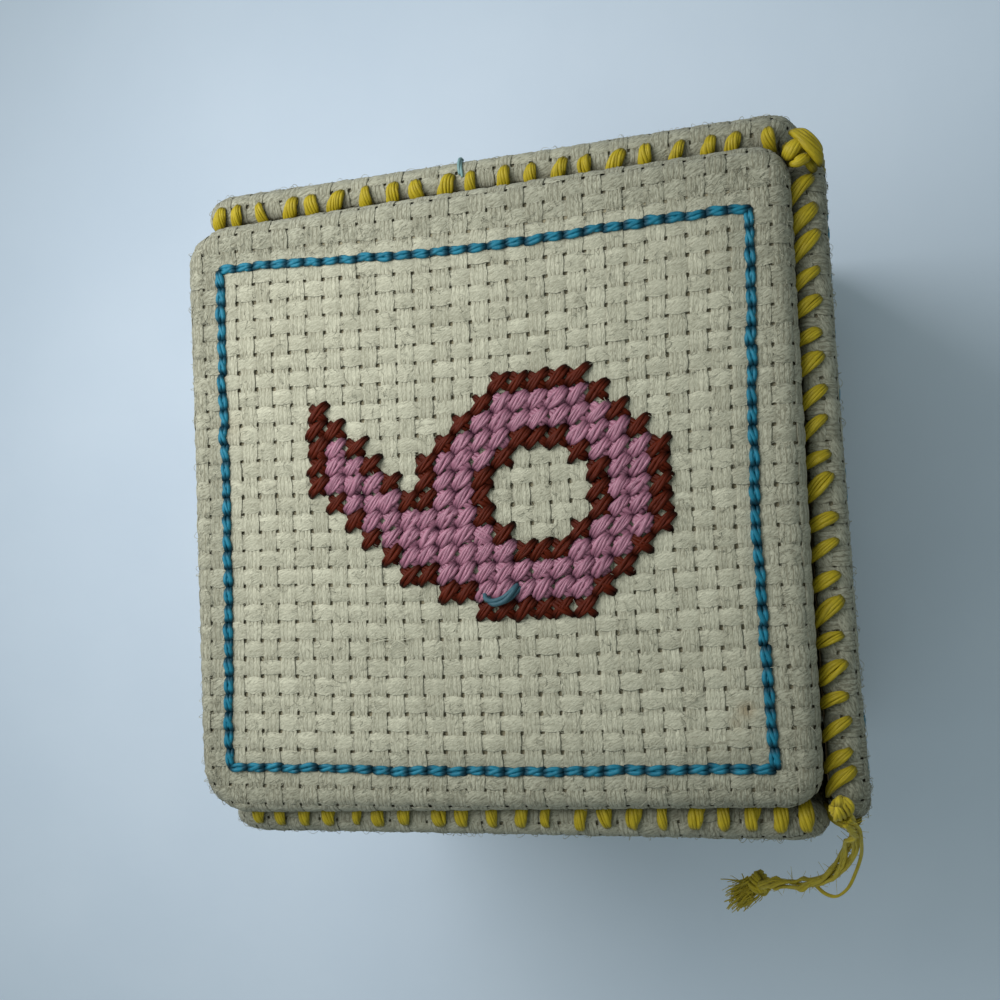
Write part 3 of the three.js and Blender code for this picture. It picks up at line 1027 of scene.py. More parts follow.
    def lining(self, finish: Material) -> Piece:
        """Builds the backing that the holes show, which turns under the panel as its hem.

        Args:
            finish: the shaded backing.

        Returns:
            The new piece.
        """
        roll, sheet = self.lining_roll, 0.1
        inner = roll - sheet
        turns = np.linspace(0.0, math.pi, 9)
        profile = [(outset, roll) for outset in (-34.0, -20.0, -8.0, -4.5, -3.0, -1.5)]
        profile += [(roll * math.sin(t), roll * math.cos(t)) for t in turns]
        profile += [(-self.hem, -roll), (-self.hem - sheet, -inner)]
        profile += [(inner * math.sin(t), inner * math.cos(t)) for t in turns[::-1]]
        profile += [(outset, inner) for outset in (-8.0, -20.0, -34.0)]
        node = f"aida_{self.panel.face.name}"
        piece = quilted(self.panel, profile).build(f"{node}_lining", finish, "aida_cloth", node)
        return piece

    def lint(self, finish: Material) -> Piece:
        """Builds the loose fibres that stand out of the cloth, most near its edges, clear of the border.

        Args:
            finish: the cloth's cotton.

        Returns:
            The new piece.
        """
        rng = np.random.default_rng(LINT_SEED + self.panel.seed)
        mesh = ThreadMesh(strip_shape=12.0)
        cells, beyond, border_gap, inner_share = self.panel.sizes.cells, 1.8, 0.5, 0.4
        spot = rng.uniform(-beyond, cells + beyond, (self.fray * 3, 2))
        outset = np.max(np.abs(spot - cells / 2), axis=1) - cells / 2
        within = (outset < -border_gap) & (rng.uniform(size=len(spot)) < inner_share)
        clear = (outset > border_gap) | within
        spot = spot[clear][: self.fray]
        count, steps = len(spot), 7
        share = np.linspace(0.0, 1.0, steps)[None, :]
        turn = rng.uniform(0, math.tau, (count, 1)) + rng.normal(0, 1.4, (count, 1)) * share
        length = rng.uniform(0.25, 0.8, (count, 1))
        across = spot[:, :1] + length * np.cumsum(np.cos(turn), axis=1) / steps
        down = spot[:, 1:] + length * np.cumsum(np.sin(turn), axis=1) / steps
        height = 0.15 + rng.uniform(0.1, 1.0, (count, 1)) ** 2 * 0.5 * np.sin(math.pi * share)
        lines = self.panel.surface(across, down, height)
        radii = rng.uniform(0.025, 0.045, (count, 1)) * (1 - 0.5 * share)
        mesh.add_strands(lines, radii, 3, rng, soil=0.2)
        return mesh.build(f"lint_{self.panel.face.name}", finish, "aida_cloth")


def rounded_square(half: float, radii: tuple[float, ...]) -> tuple[Array, Array]:
    """Draws a square with round corners, clockwise from its upper side.

    Args:
        half: half its width.
        radii: its corners' radii, clockwise from the upper right.

    Returns:
        Its points and the ways out at them, one row each.
    """
    places, ways = [], []
    for quarter, radius in enumerate(radii):
        lean = -quarter * math.pi / 2
        out = np.array([math.sin(-lean), math.cos(-lean)])
        side = np.array([math.cos(-lean), -math.sin(-lean)])
        along = np.linspace(radii[quarter - 1] - half, half - radius, 15)[1:-1]
        places += [out * half + side * a for a in along]
        ways += [out] * len(along)
        for share in np.linspace(0, 1, 6):
            bend = share * math.pi / 2
            way = out * math.cos(bend) + side * math.sin(bend)
            places.append((out + side) * (half - radius) + way * radius)
            ways.append(way)
    return np.array(places), np.array(ways)


def quilted(panel: Panel, profile: list[tuple[float, float]]) -> ThreadMesh:
    """Sweeps a closed section round a panel.

    Args:
        panel: the panel that it lies in.
        profile: how far out past the flat part, and how far above the middle plane, each ring lies.

    Returns:
        The mesh that holds it.
    """
    sizes = panel.sizes
    edge, ways = rounded_square(sizes.flat_half, panel.face.lay.corners)
    soft = 0.8 * min(panel.face.lay.corners)
    rings = []
    for outset, height in profile:
        if outset >= -soft:
            ring = edge + ways * outset
        else:
            share = (sizes.flat_half + outset) / (sizes.flat_half - soft)
            ring = (edge - ways * soft) * share
        crown = float(panel.crowned(np.array(float(outset)))) if height > 0 else 0.0
        rings.append(panel.place(ring[:, 0], ring[:, 1], height + crown))
    points = np.array(rings)
    mesh = ThreadMesh(strip_shape=1.0)
    mesh.add_rings(points[None], points[None], np.zeros(3))
    return mesh


@dataclass
class PanelCore:
    """What fills one panel: a thin sheet of wadding over a stiff card."""

    panel: Panel
    wadding_low: float = 0.22
    wadding_high: float = 1.3

    def wadding(self, finish: Material) -> Piece:
        """Builds the sheet of wadding, thinner and soft towards its edges.

        Args:
            finish: the wadding.

        Returns:
            The new piece.
        """
        low, high = self.wadding_low, self.wadding_high
        soft = (high - low) / 2
        middle = (high + low) / 2
        profile = [(-34.0, high), (-20.0, high), (-6.0, high), (-1.6, high - 0.1)]
        turns = np.linspace(0.3, math.pi, 7)
        profile += [(-0.9 + soft * math.sin(t), middle + soft * math.cos(t)) for t in turns]
        profile += [(-20.0, low), (-34.0, low)]
        name = self.panel.face.name
        mesh = quilted(self.panel, profile)
        piece = mesh.build(f"{name}_wadding_sheet", finish, "wadding", f"wadding_{name}")
        return piece

    def card(self, finish: Material) -> None:
        """Gives the panel's card its board.

        Args:
            finish: the grey board.
        """
        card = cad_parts[f"card_{self.panel.face.name}"]
        card.data.materials.clear()
        card.data.materials.append(finish)


@dataclass(frozen=True)
class StitchForm:
    """How one kind of straight stitch is sewn, in millimetres where nothing else is said.

    Its strands have one radius, and lie spread to either side of its middle and depth above and below it. Its
    middle stands crest over the cloth's, and its ends dive down and overlap the holes by a share of a square.
    Each strand has steps along it and sides round it, turns round the others, and is drawn in at the ends to
    the share of its spread that pinch gives. Dark is how far from its middle a stitch starts to take painted
    shade towards its ends, and where that painted shade is deepest, from 0 to 1. Uneven is 1 for neat work.
    """

    strands: int
    radius: float
    spread: float
    depth: float
    crest: float
    dive: float
    overlap: float
    steps: int
    sides: int
    turn: float
    pinch: float
    dark: tuple[float, float]
    uneven: float


def add_stitches(mesh: ThreadMesh, panel: Panel, rows: Array, form: StitchForm, rng: Chances) -> None:
    """Adds straight stitches to a panel, each of a few strands that dive into the holes at its ends.

    Args:
        mesh: the mesh that gets them.
        panel: the panel that they are sewn on.
        rows: each stitch's start across and down, and its run across and down, in squares.
        form: how they are sewn.
        rng: the source of their unevenness.
    """
    count, strands, steps, pinch, uneven = len(rows), form.strands, form.steps, form.pinch, form.uneven
    # How far the hand strays: in squares, in radians, as shares of a strand's girth, and in millimetres.
    off_place, off_run, off_turn, off_strand, off_stitch, off_height = 0.025, 0.02, 0.25, 0.07, 0.03, 0.03
    share = (0.5 - 0.5 * np.cos(math.pi * np.arange(steps) / (steps - 1)))[None, None, :]
    swell = np.sin(math.pi * share) ** 0.5
    start = rows[:, None, None, :2] + rng.normal(0, off_place * uneven, (count, 1, 1, 2))
    run = rows[:, None, None, 2:] + rng.normal(0, off_run * uneven, (count, 1, 1, 2))
    phase = rng.uniform(0, math.tau, (count, 1, 1)) + (np.arange(strands) * math.tau / strands)[None, :, None]
    angle = phase + rng.normal(0, off_turn, (count, strands, 1)) + math.tau * form.turn * share
    plump = 1 + rng.normal(0, off_strand * uneven, (count, strands, 1))
    plump = plump + rng.normal(0, off_stitch * uneven, (count, 1, 1))
    side = form.spread * plump * (pinch + (1 - pinch) * swell) * np.cos(angle)
    lift = form.depth * swell * np.sin(angle)
    drop = form.dive * np.abs(2 * share - 1) ** 5
    height = form.crest + rng.normal(0, off_height * uneven, (count, 1, 1)) + lift - drop
    way = run / np.linalg.norm(run, axis=-1, keepdims=True)
    cell = panel.sizes.cell
    along = -form.overlap + (1 + 2 * form.overlap) * share
    across = start[..., 0] + run[..., 0] * along - way[..., 1] * side / cell
    down = start[..., 1] + run[..., 1] * along + way[..., 0] * side / cell
    lines = panel.surface(across, down, height).reshape(count * strands, steps, 3)
    thick = (0.4 + 0.6 * pinch) + 0.6 * (1 - pinch) * swell
    radii = np.broadcast_to(form.radius * plump * thick, height.shape).reshape(-1, steps)
    # Painted shade: each stitch darkens towards its ends, where it dives into the holes.
    ends = eased((np.abs(2 * share - 1) - form.dark[0]) / (form.dark[1] - form.dark[0]))
    shade = np.broadcast_to(0.95 * ends, height.shape).reshape(-1, steps)
    mesh.add_strands(lines, radii, form.sides, rng, shade=shade)


BACKSTITCH = StitchForm(
    strands=3, radius=0.27, spread=0.36, depth=0.1, crest=0.38, dive=0.55, overlap=0.04,
    steps=11, sides=8, turn=0.45, pinch=0.8, dark=(0.35, 0.7), uneven=1.0,
)
LOWER_CROSS = StitchForm(
    strands=5, radius=0.25, spread=0.39, depth=0.08, crest=0.42, dive=0.75, overlap=-0.02,
    steps=8, sides=5, turn=0.35, pinch=0.55, dark=(0.4, 0.95), uneven=2.0,
)
UPPER_CROSS = replace(LOWER_CROSS, crest=0.64, overlap=0.06, steps=9, sides=6)


@dataclass
class BackstitchBorder:
    """The blue border: one backstitch to each square of the cloth, all round."""

    panel: Panel

    def build(self, finish: Material) -> Piece:
        """Sews the border.

        Args:
            finish: the blue cotton.

        Returns:
            The new piece.
        """
        cells = self.panel.sizes.cells
        rows = []
        for i in range(cells):
            rows += [(i, 0, 1, 0), (cells, i, 0, 1), (cells - i, cells, -1, 0), (0, cells - i, 0, -1)]
        mesh = ThreadMesh(strip_shape=1.8)
        rng = np.random.default_rng(BORDER_SEED + self.panel.seed)
        add_stitches(mesh, self.panel, np.array(rows, float), BACKSTITCH, rng)
        name = self.panel.face.name
        return mesh.build(f"backstitch_{name}", finish, "blue_cotton", f"border_{name}")


# Each numeral's outline, in squares across and down from the border's top left.
NUMERAL_OUTLINES = {
    "one": [
        (12, 5), (16, 5), (16, 20), (20, 20), (20, 24), (8, 24), (8, 20), (12, 20), (12, 11),
        (8, 11), (8, 9),
    ],
    "two": [
        (12, 5), (17, 5), (21, 9), (21, 13), (14, 20), (21, 20), (21, 24), (8, 24), (8, 20),
        (17, 11), (17, 10), (16, 9), (13, 9), (12, 10), (12, 11), (8, 11), (8, 9),
    ],
    "three": [
        (12, 5), (17, 5), (21, 9), (21, 12), (18.5, 14.5), (21, 17), (21, 20), (17, 24), (12, 24),
        (8, 20), (8, 18), (12, 18), (12, 19), (13, 20), (16, 20), (17, 19), (17, 17), (16, 16),
        (12, 16), (12, 13), (16, 13), (17, 12), (17, 10), (16, 9), (13, 9), (12, 10), (12, 11),
        (8, 11), (8, 9),
    ],
    "four": [
        (8, 5), (12, 5), (12, 13), (15, 13), (15, 5), (19, 5), (19, 13), (21, 13), (21, 17),
        (19, 17), (19, 24), (15, 24), (15, 17), (8, 17),
    ],
    "five": [
        (8, 5), (20, 5), (20, 9), (12, 9), (12, 12), (17, 12), (21, 16), (21, 20), (17, 24),
        (12, 24), (8, 20), (8, 18), (12, 18), (12, 19), (13, 20), (16, 20), (17, 19), (17, 17),
        (16, 16), (8, 16),
    ],
    "six": [
        (15, 7), (20, 7), (24, 11), (24, 16), (20, 20), (14.5, 20), (10.5, 18), (5, 13), (5, 7),
        (11, 13), (11, 11),
    ],
}
SIX_EYE = [(16.7, 11), (18.3, 11), (20, 12.7), (20, 14.3), (18.3, 16), (16.7, 16), (15, 14.3), (15, 12.7)]


def outline_test(places: Array, outline: list[tuple[float, float]]) -> tuple[Array, Array]:
    """Tests places against a closed outline.

    Args:
        places: the places, one row each.
        outline: the outline's points.

    Returns:
        Whether each place is inside, and how far it is from the outline.
    """
    starts = np.array(outline, float)
    runs = np.roll(starts, -1, axis=0) - starts
    gaps = places[:, None] - starts
    share = np.clip(np.sum(gaps * runs, axis=-1) / np.sum(runs * runs, axis=-1), 0, 1)
    distance = np.min(np.linalg.norm(gaps - share[..., None] * runs, axis=-1), axis=1)
    ends = starts + runs
    spans = (starts[:, 1] > places[:, None, 1]) != (ends[:, 1] > places[:, None, 1])
    rise = np.where(runs[:, 1] == 0, 1.0, runs[:, 1])
    crossing = starts[:, 0] + gaps[..., 1] / rise * runs[:, 0]
    inside = np.sum(spans & (places[:, None, 0] < crossing), axis=1) % 2 == 1
    return inside, distance


@dataclass
class CrossStitchNumeral:
    """One panel's numeral: pink crosses with a row of brown crosses round them."""

    panel: Panel
    edge_width: float = 1.0

    def charted(self) -> dict[str, Array]:
        """Lists the squares of the fill, the outline and the rim of the eye, from the chart.

        Returns:
            The squares of each part by its label, counted from the border's top left.
        """
        cells = self.panel.sizes.cells
        grid = np.stack(np.meshgrid(np.arange(cells), np.arange(cells)), axis=-1).reshape(-1, 2)
        middles = grid + 0.5
        numeral = self.panel.face.numeral
        inside, distance = outline_test(middles, NUMERAL_OUTLINES[numeral])
        stitched = inside & (distance > 1e-6)
        edge = distance <= self.edge_width
        rim = np.zeros(len(grid), bool)
        if numeral == "six":
            hollow, from_eye = outline_test(middles, SIX_EYE)
            stitched &= ~hollow
            rim = stitched & (from_eye <= self.edge_width)
        fill, outline = stitched & ~edge & ~rim, stitched & edge & ~rim
        return {"fill": grid[fill], "outline": grid[outline], "rim": grid[rim]}

    def sew(self, squares: Array, label: str, finish: Material, pink: bool) -> None:
        """Sews a cross in each square, the lower leg first.

        Args:
            squares: the squares, counted from the border's top left.
            label: which part of the numeral it is.
            finish: the cotton.
            pink: true for the fuller pink crosses.
        """
        rng = np.random.default_rng(NUMERAL_SEED + 10 * self.panel.seed + len(label))
        mesh = ThreadMesh(strip_shape=2.6)
        corner = squares.astype(float)
        lower = np.hstack([corner, np.ones((len(corner), 2))])
        upper = np.hstack([corner + [0, 1], np.tile([1.0, -1.0], (len(corner), 1))])
        for rows, form in ((lower, LOWER_CROSS), (upper, UPPER_CROSS)):
            if pink:
                # The pink crosses' painted shade starts further from the middle of each leg.
                form = replace(form, strands=7, spread=0.5, overlap=form.overlap - 0.03, dark=(0.55, 0.95))
            add_stitches(mesh, self.panel, rows, form, rng)
        name = f"{self.panel.face.numeral}_{label}"
        mesh.build(f"crosses_{name}", finish, "pink_cotton" if pink else "brown_cotton", f"numeral_{name}")

    def build(self, pink: Material, brown: Material) -> None:
        """Sews the numeral's parts."""
        for label, squares in self.charted().items():
            if len(squares):
                self.sew(squares, label, pink if label == "fill" else brown, label == "fill")


@dataclass(frozen=True)
class Seam:
    """One sewn edge: the two sides that meet there, the way along it, and each stitch's place and lean.

    Places are millimetres along the edge, and leans are how far a stitch runs along it on its way from the
    first side to the second. The sweeps are how far round the second side's roll the stitches go, in degrees,
    at the two ends of the edge. An edge that the photograph doesn't show has no list and gets even stitches,
    which keep the margin clear at its ends.
    """

    first: Side
    second: Side
    along: tuple[int, int, int]
    places: tuple[float, ...] = ()
    leans: tuple[float, ...] = ()
    sweeps: tuple[float, float] = (-8.0, -8.0)
    margin: float = 3.6


ALONG_X, ALONG_Y, UPRIGHT = (1, 0, 0), (0, 1, 0), (0, 0, 1)
SEAMS = (
    Seam(
        Side.TOP, Side.BACK, ALONG_X,
        places=(
            -34, -31.6, -28.2, -24.1, -21.3, -18, -14, -10.4, -7.3, -3.6, -0.4,
            3.6, 7, 10.5, 13.7, 17.1, 20.7, 24.3, 28, 30.7, 34.8,
        ),
        leans=(
            1, 0.8, -0.5, 1.6, 0.4, 2, 0.3, 0.9, -0.3, 1.8, 0.2,
            0.8, 0.5, 1.5, 0.3, 2, 0.3, 1.4, 0.9, 1.1, -0.6,
        ),
        sweeps=(24.0, 30.0),
    ),
    Seam(
        Side.TOP, Side.FRONT, ALONG_X,
        places=(
            -31.1, -28.1, -24.8, -21.6, -17.8, -15.1, -11.7, -7.5, -4.5, -0.9, 2.8,
            5.7, 9.9, 12.7, 16.2, 19.3, 23.1, 26.2, 29.4, 32.5, 35.2,
        ),
        leans=(
            0, 0, -0.2, 0, -0.7, 0, -0.2, 0.3, -0.3, 0.2, -0.6,
            -0.2, -0.8, 0.2, -0.9, 0, -1, -0.2, -0.7, -0.7, -0.2,
        ),
        sweeps=(22.0, 8.0),
    ),
    Seam(
        Side.TOP, Side.RIGHT, ALONG_Y,
        places=(
            32.4, 29, 26, 22.3, 19.2, 15.7, 12.7, 8.9, 5.5, 2, -1,
            -4.9, -8, -11.5, -14.8, -17.9, -21.4, -24.5, -27.6, -31, -33.2,
        ),
        leans=(
            4, 4.4, 4.4, 3.2, 2.8, 2.1, 3, 3.4, 3.6, 2.1, 3.7,
            2.4, 3.2, 2.6, 4.2, 2, 3.2, 2.2, 3.4, 3.4, 4.2,
        ),
        sweeps=(12.0, 12.0),
    ),
    Seam(Side.TOP, Side.LEFT, ALONG_Y, sweeps=(42.0, 42.0), margin=7.0),
    Seam(Side.BOTTOM, Side.BACK, ALONG_X),
    Seam(Side.BOTTOM, Side.FRONT, ALONG_X),
    Seam(Side.BOTTOM, Side.RIGHT, ALONG_Y),
    Seam(Side.BOTTOM, Side.LEFT, ALONG_Y),
    Seam(Side.FRONT, Side.RIGHT, UPRIGHT),
    Seam(Side.FRONT, Side.LEFT, UPRIGHT, sweeps=(8.0, 8.0), margin=7.0),
    Seam(Side.BACK, Side.RIGHT, UPRIGHT),
    Seam(Side.BACK, Side.LEFT, UPRIGHT, sweeps=(8.0, 8.0), margin=7.0),
)


@dataclass(frozen=True)
class Skein:
    """A short plump bundle of strands, drawn in at its ends to a share of its middle's width.

    Its strands lie within half_wide to either side and half_deep in and out, and make some turns on the way.
    """

    strands: int
    radius: float
    half_wide: float
    half_deep: float
    turns: float
    ends: float = 0.45


def add_skeins(mesh: ThreadMesh, lines: Array, outs: Array, skein: Skein, rng: Chances) -> None:
    """Adds short plump bundles of strands along lines, dark at both ends.

    Args:
        mesh: the mesh that gets them.
        lines: the bundles' middles, by bundle and step.
        outs: the way out of the work at each step, in the same order.
        skein: what a bundle is like.
        rng: the source of their unevenness.
    """
    (count, steps, _), strands = lines.shape, skein.strands
    # How far the bundles, their strands and their radii stray, as shares of their sizes.
    off_bundle, off_strand, off_radius = 0.11, 0.18, 0.15
    share = np.linspace(-1, 1, steps)
    low = skein.ends - 0.15 * (share > 0)
    swell = low + (1 - low) * np.cos(math.pi * share / 2) ** 0.75
    plump = 1 + rng.normal(0, off_bundle, (count, 1, 1))
    phase = rng.uniform(0, math.tau, (count, 1, 1)) + (np.arange(strands) * math.tau / strands)[None, :, None]
    angle = phase + math.tau * skein.turns * share[None, None, :] / 2
    ahead = unit(np.gradient(lines, axis=1))
    lateral = unit(np.cross(ahead, outs))
    above = np.cross(lateral, ahead)
    loose = 1 + rng.normal(0, off_strand, (count, strands, 1))
    wide = skein.half_wide * plump * loose * swell * np.cos(angle)
    deep = skein.half_deep * swell * np.sin(angle)
    strings = lines[:, None] + wide[..., None] * lateral[:, None] + deep[..., None] * above[:, None]
    girth = 1 + rng.normal(0, off_radius, (count, strands, 1))
    radii = skein.radius * plump * (0.4 + 0.6 * swell) * girth
    # Painted shade at both ends, where the bundle dives into the groove and the cloth.
    shade = np.broadcast_to(0.85 * eased((np.abs(share) - 0.55) / 0.45), wide.shape).reshape(-1, steps)
    mesh.add_strands(strings.reshape(-1, steps, 3), radii.reshape(-1, steps), 6, rng, shade=shade)


@dataclass
class WhippedSeam:
    """The mustard whipping along one edge: short plump stitches from the groove over the neighbour's edge."""

    seam: Seam
    sizes: CubeSizes
    count: int = 21
    skein: Skein = Skein(strands=9, radius=0.25, half_wide=0.56, half_deep=0.3, turns=0.4)
    groove: float = 104.0
    clearance: float = 0.6
    dive: float = 0.9
    steps: int = 12
    # The corner where the whipping thread was fastened has a fat stitch over it, a short one and a loop.
    # Each has its size and its route.
    corner_stitches: tuple[tuple[float, tuple[Place, ...]], ...] = (
        (1.1, ((37.4, 37.2, 79.6), (38.6, 36.4, 80.2), (39.8, 35.2, 80.0), (40.4, 34.0, 79.2))),
        (
            0.95,
            (
                (38.5, 38.3, 80.6), (39.2, 37.7, 81.5), (40.1, 36.5, 81.7), (40.9, 35.3, 81.2),
                (41.1, 34.6, 80.0),
            ),
        ),
        (0.75, ((37.4, 35.4, 81.0), (38.0, 35.8, 81.7), (38.7, 36.4, 81.8), (39.3, 36.9, 81.4))),
        (0.7, ((38.0, 34.6, 80.9), (38.6, 34.5, 81.7), (39.3, 34.8, 81.7), (39.9, 35.3, 81.2))),
    )

    def line(self, panel: Panel, toward: Array, places: Array) -> Array:
        """Finds the middle of a panel's rolled edge.

        Args:
            panel: the panel.
            toward: the way out of the neighbour that it meets.
            places: how far along the edge, in millimetres.

        Returns:
            Places in the row frame.
        """
        flat = self.sizes.flat_half * toward + places[..., None] * np.array(self.seam.along, float)
        return panel.place(flat @ panel.right, flat @ panel.up, 0.0)

    def spots(self, rng: Chances) -> tuple[Array, Array]:
        """Lists the stitches' places along the edge and their leans.

        Args:
            rng: the source of their unevenness.

        Returns:
            The places and the leans, in millimetres.
        """
        if self.seam.places:
            return np.array(self.seam.places), np.array(self.seam.leans)
        reach = self.sizes.panel_half - self.seam.margin
        off_place, lean, off_lean = 0.35, 1.2, 0.6
        places = np.linspace(-reach, reach, self.count) + rng.normal(0, off_place, self.count)
        return places, rng.normal(lean, off_lean, self.count)

    def build(self, finish: Material) -> Piece:
        """Sews the seam.

        Args:
            finish: the mustard cotton.

        Returns:
            The new piece.
        """
        seam, half = self.seam, self.sizes.panel_half
        first, second = Panel(seam.first, self.sizes), Panel(seam.second, self.sizes)
        rng = np.random.default_rng(SEAM_SEED + SEAMS.index(seam))
        places, leans = self.spots(rng)
        share = np.linspace(-1, 1, self.steps)
        run = places[:, None] + leans[:, None] * share / 2
        middle_a = self.line(first, second.out, run)
        middle_b = self.line(second, first.out, run)
        aside = unit(middle_b - middle_a)
        out = unit(np.cross(aside, np.array(seam.along, float)))
        out = out * np.sign(np.sum(out * (first.out + second.out), axis=-1, keepdims=True))
        sweep = seam.sweeps[0] + (seam.sweeps[1] - seam.sweeps[0]) * ((places + half) / (2 * half))
        sweep = sweep + rng.normal(0, 3.0, len(places))
        swing = np.radians(self.groove + (sweep - self.groove)[:, None] * (share + 1) / 2)
        raised = self.clearance - self.dive * np.clip(share, 0, 1) ** 4
        reach = (self.sizes.cloth_roll + raised)[None, :, None]
        way = -np.sin(swing)[..., None] * aside + np.cos(swing)[..., None] * out
        mesh = ThreadMesh(strip_shape=3.5)
        add_skeins(mesh, middle_b + reach * way, way, self.skein, rng)
        if (seam.first, seam.second) == (Side.TOP, Side.RIGHT):
            self.fasten(mesh, rng)
        name = f"{seam.first.value.name}_{seam.second.value.name}"
        return mesh.build(f"whipping_{name}", finish, "mustard_cotton", f"seam_{name}")

    def fasten(self, mesh: ThreadMesh, rng: Chances) -> None:
        """Adds the stitches that fasten the thread over the corner."""
        plain = replace(self.skein, radius=1.1 * self.skein.radius, turns=0.3, ends=0.7)
        for scale, route in self.corner_stitches:
            line = rounded_route(route, 4)
            outs = np.tile([0.5, 0.3, 0.81], (len(line), 1))
            skein = replace(plain, half_wide=plain.half_wide * scale, half_deep=plain.half_deep * scale)
            add_skeins(mesh, line[None], outs[None], skein, rng)


@dataclass
class ThreadEnd:
    """The whipping thread's loose end: it leaves a corner, hangs, and ends in a knot and a frayed tuft."""

    diameter: float = 1.5
    strands: int = 11
    knot_place: Place = (27.0, -51.9, 51.1)
    corner_place: Place = (38.8, -36.3, 80.9)
    tuft_way: Place = (-0.74, -0.56, -0.38)
    tuft_length: float = 5.0
    route: tuple[Place, ...] = (
        (39.4, -37.5, 80.8), (39.8, -38.3, 79.6), (39.9, -39.2, 77.9), (39.8, -40.2, 75.8),
        (39.6, -41.5, 73.4), (39.3, -42.9, 71.2), (38.6, -44.5, 69.0), (37.8, -45.9, 66.9),
        (36.8, -47.3, 64.8), (35.5, -48.5, 62.8), (34.0, -49.3, 60.9), (32.6, -50.0, 59.1),
        (31.1, -50.4, 57.3), (29.6, -50.8, 55.6), (28.3, -51.3, 54.0), (27.3, -51.8, 52.5),
    )
    # One strand has slipped out of the twist and hangs beside the others in a longer bow.
    slipped: tuple[Place, ...] = (
        (39.6, -37.6, 81.0), (40.5, -39.2, 78.0), (40.6, -41.4, 74.5), (40.4, -43.8, 70.5),
        (39.6, -46.4, 67.8), (38.6, -48.6, 66.0), (37.2, -49.9, 64.8), (35.8, -50.0, 63.2),
        (34.6, -49.5, 61.2),
    )
    # Where the thread is ruckled into lumps: the share of its length, and how much thicker it is there.
    lumps: tuple[tuple[float, float], ...] = ((0.52, 0.3), (0.71, 0.75), (0.88, 0.75))

    @property
    def line(self) -> Array:
        """The thread's own middle line."""
        return rounded_route(self.route, 5)

    @property
    def length(self) -> float:
        """The thread's length in millimetres."""
        return float(np.sum(np.linalg.norm(np.diff(self.line, axis=0), axis=1)))

    def cord(self, finish: Material) -> Piece:
        """Lays the hanging strands, loosely twisted and spread flat where they leave the corner.

        Args:
            finish: the lighter mustard cotton, with painted light.

        Returns:
            The new piece.
        """
        line = self.line
        steps = len(line)
        share = np.linspace(0, 1, steps)
        ahead = unit(np.gradient(line, axis=0))
        lateral = unit(np.cross(ahead, [0.1, 0.5, 1.0]))
        above = np.cross(lateral, ahead)
        rng = np.random.default_rng(TAIL_SEED)
        turns, radius, lump_length = 1.6, 0.21, 0.025
        phase = (np.arange(self.strands) * math.tau / self.strands)[:, None]
        wander = np.cumsum(rng.normal(0, 0.08, (self.strands, steps)), axis=1)
        angle = phase + math.tau * turns * share[None, :] + wander
        ring = self.diameter / 2 - radius
        gathered = eased((share - 0.4) / 0.2)
        lumpy = sum(much * np.exp(-(((share - at) / lump_length) ** 2)) for at, much in self.lumps)
        wide = ring * (1.4 - 0.65 * gathered + lumpy)
        deep = ring * (0.35 + 0.3 * gathered)
        offsets = (wide * np.cos(angle))[..., None] * lateral + (deep * np.sin(angle))[..., None] * above
        mesh = ThreadMesh(strip_shape=30.0)
        mesh.add_strands(line[None] + offsets, radius, 7, rng)
        return mesh.build("hanging_thread", finish, "mustard_cotton", "tail_cord")

    def slipped_strand(self, finish: Material) -> Piece:
        """Hangs the strand that has slipped out, with the fibres that stand off the thread.

        Args:
            finish: the lighter mustard cotton, with painted light.

        Returns:
            The new piece.
        """
        mesh = ThreadMesh(strip_shape=40.0)
        rng = np.random.default_rng(TAIL_SEED + 4)
        line = rounded_route(self.slipped, 6)
        mesh.add_strands(np.stack([line, line + [0.12, 0.1, 0.1]]), 0.17, 6, rng)
        count, steps = 150, 9
        route = self.line
        spot = route[rng.integers(2, len(route) - 2, count)]
        turn = unit(rng.normal(0, 1, (count, 1, 3)))
        bend = rng.normal(0, 1.0, (count, 1, 3))
        share = np.linspace(0, 1, steps)[None, :, None]
        fibres = spot[:, None] + turn * (0.5 + 0.45 * share) + bend * share**2 * 0.8
        mesh.add_strands(fibres, 0.04 * (1 - 0.5 * share[..., 0]), 3, rng)
        return mesh.build("slipped_strand", finish, "mustard_cotton", "tail_cord")

    def knot(self, name: str, node: str, place: Place, axis: Place, size: float, finish: Material) -> Piece:
        """Winds a tight knot: turns of soft thread side by side, with the ends tucked in.

        Args:
            name: the piece's name.
            node: the CAD node that it hides and takes the place of.
            place: its middle.
            axis: the way that it is wound along.
            size: its diameter.
            finish: the cotton.

        Returns:
            The new piece.
        """
        rng = np.random.default_rng(len(name))
        turn = np.linspace(-1.9, 1.9, 13)[:, None]
        way = unit(np.array(axis))
        first = unit(np.cross(way, [0.2, 0.3, 1.0]))
        second = np.cross(way, first)
        mesh = ThreadMesh(strip_shape=8.0)
        skein = Skein(8, 0.1 * size, 0.26 * size, 0.08 * size, 0.5, ends=0.6)
        for lean, start in ((0.0, 0.0), (1.1, 2.1), (-1.0, 4.2), (0.4, 1.2)):
            tip = unit(way + lean * first)
            out = np.cos(turn + start) * unit(np.cross(tip, second)) + np.sin(turn + start) * second
            line = np.array(place) + 0.34 * size * out + 0.12 * size * np.sin(turn) * tip
            add_skeins(mesh, line[None], out[None], skein, rng)
        return mesh.build(name, finish, "mustard_cotton", node)

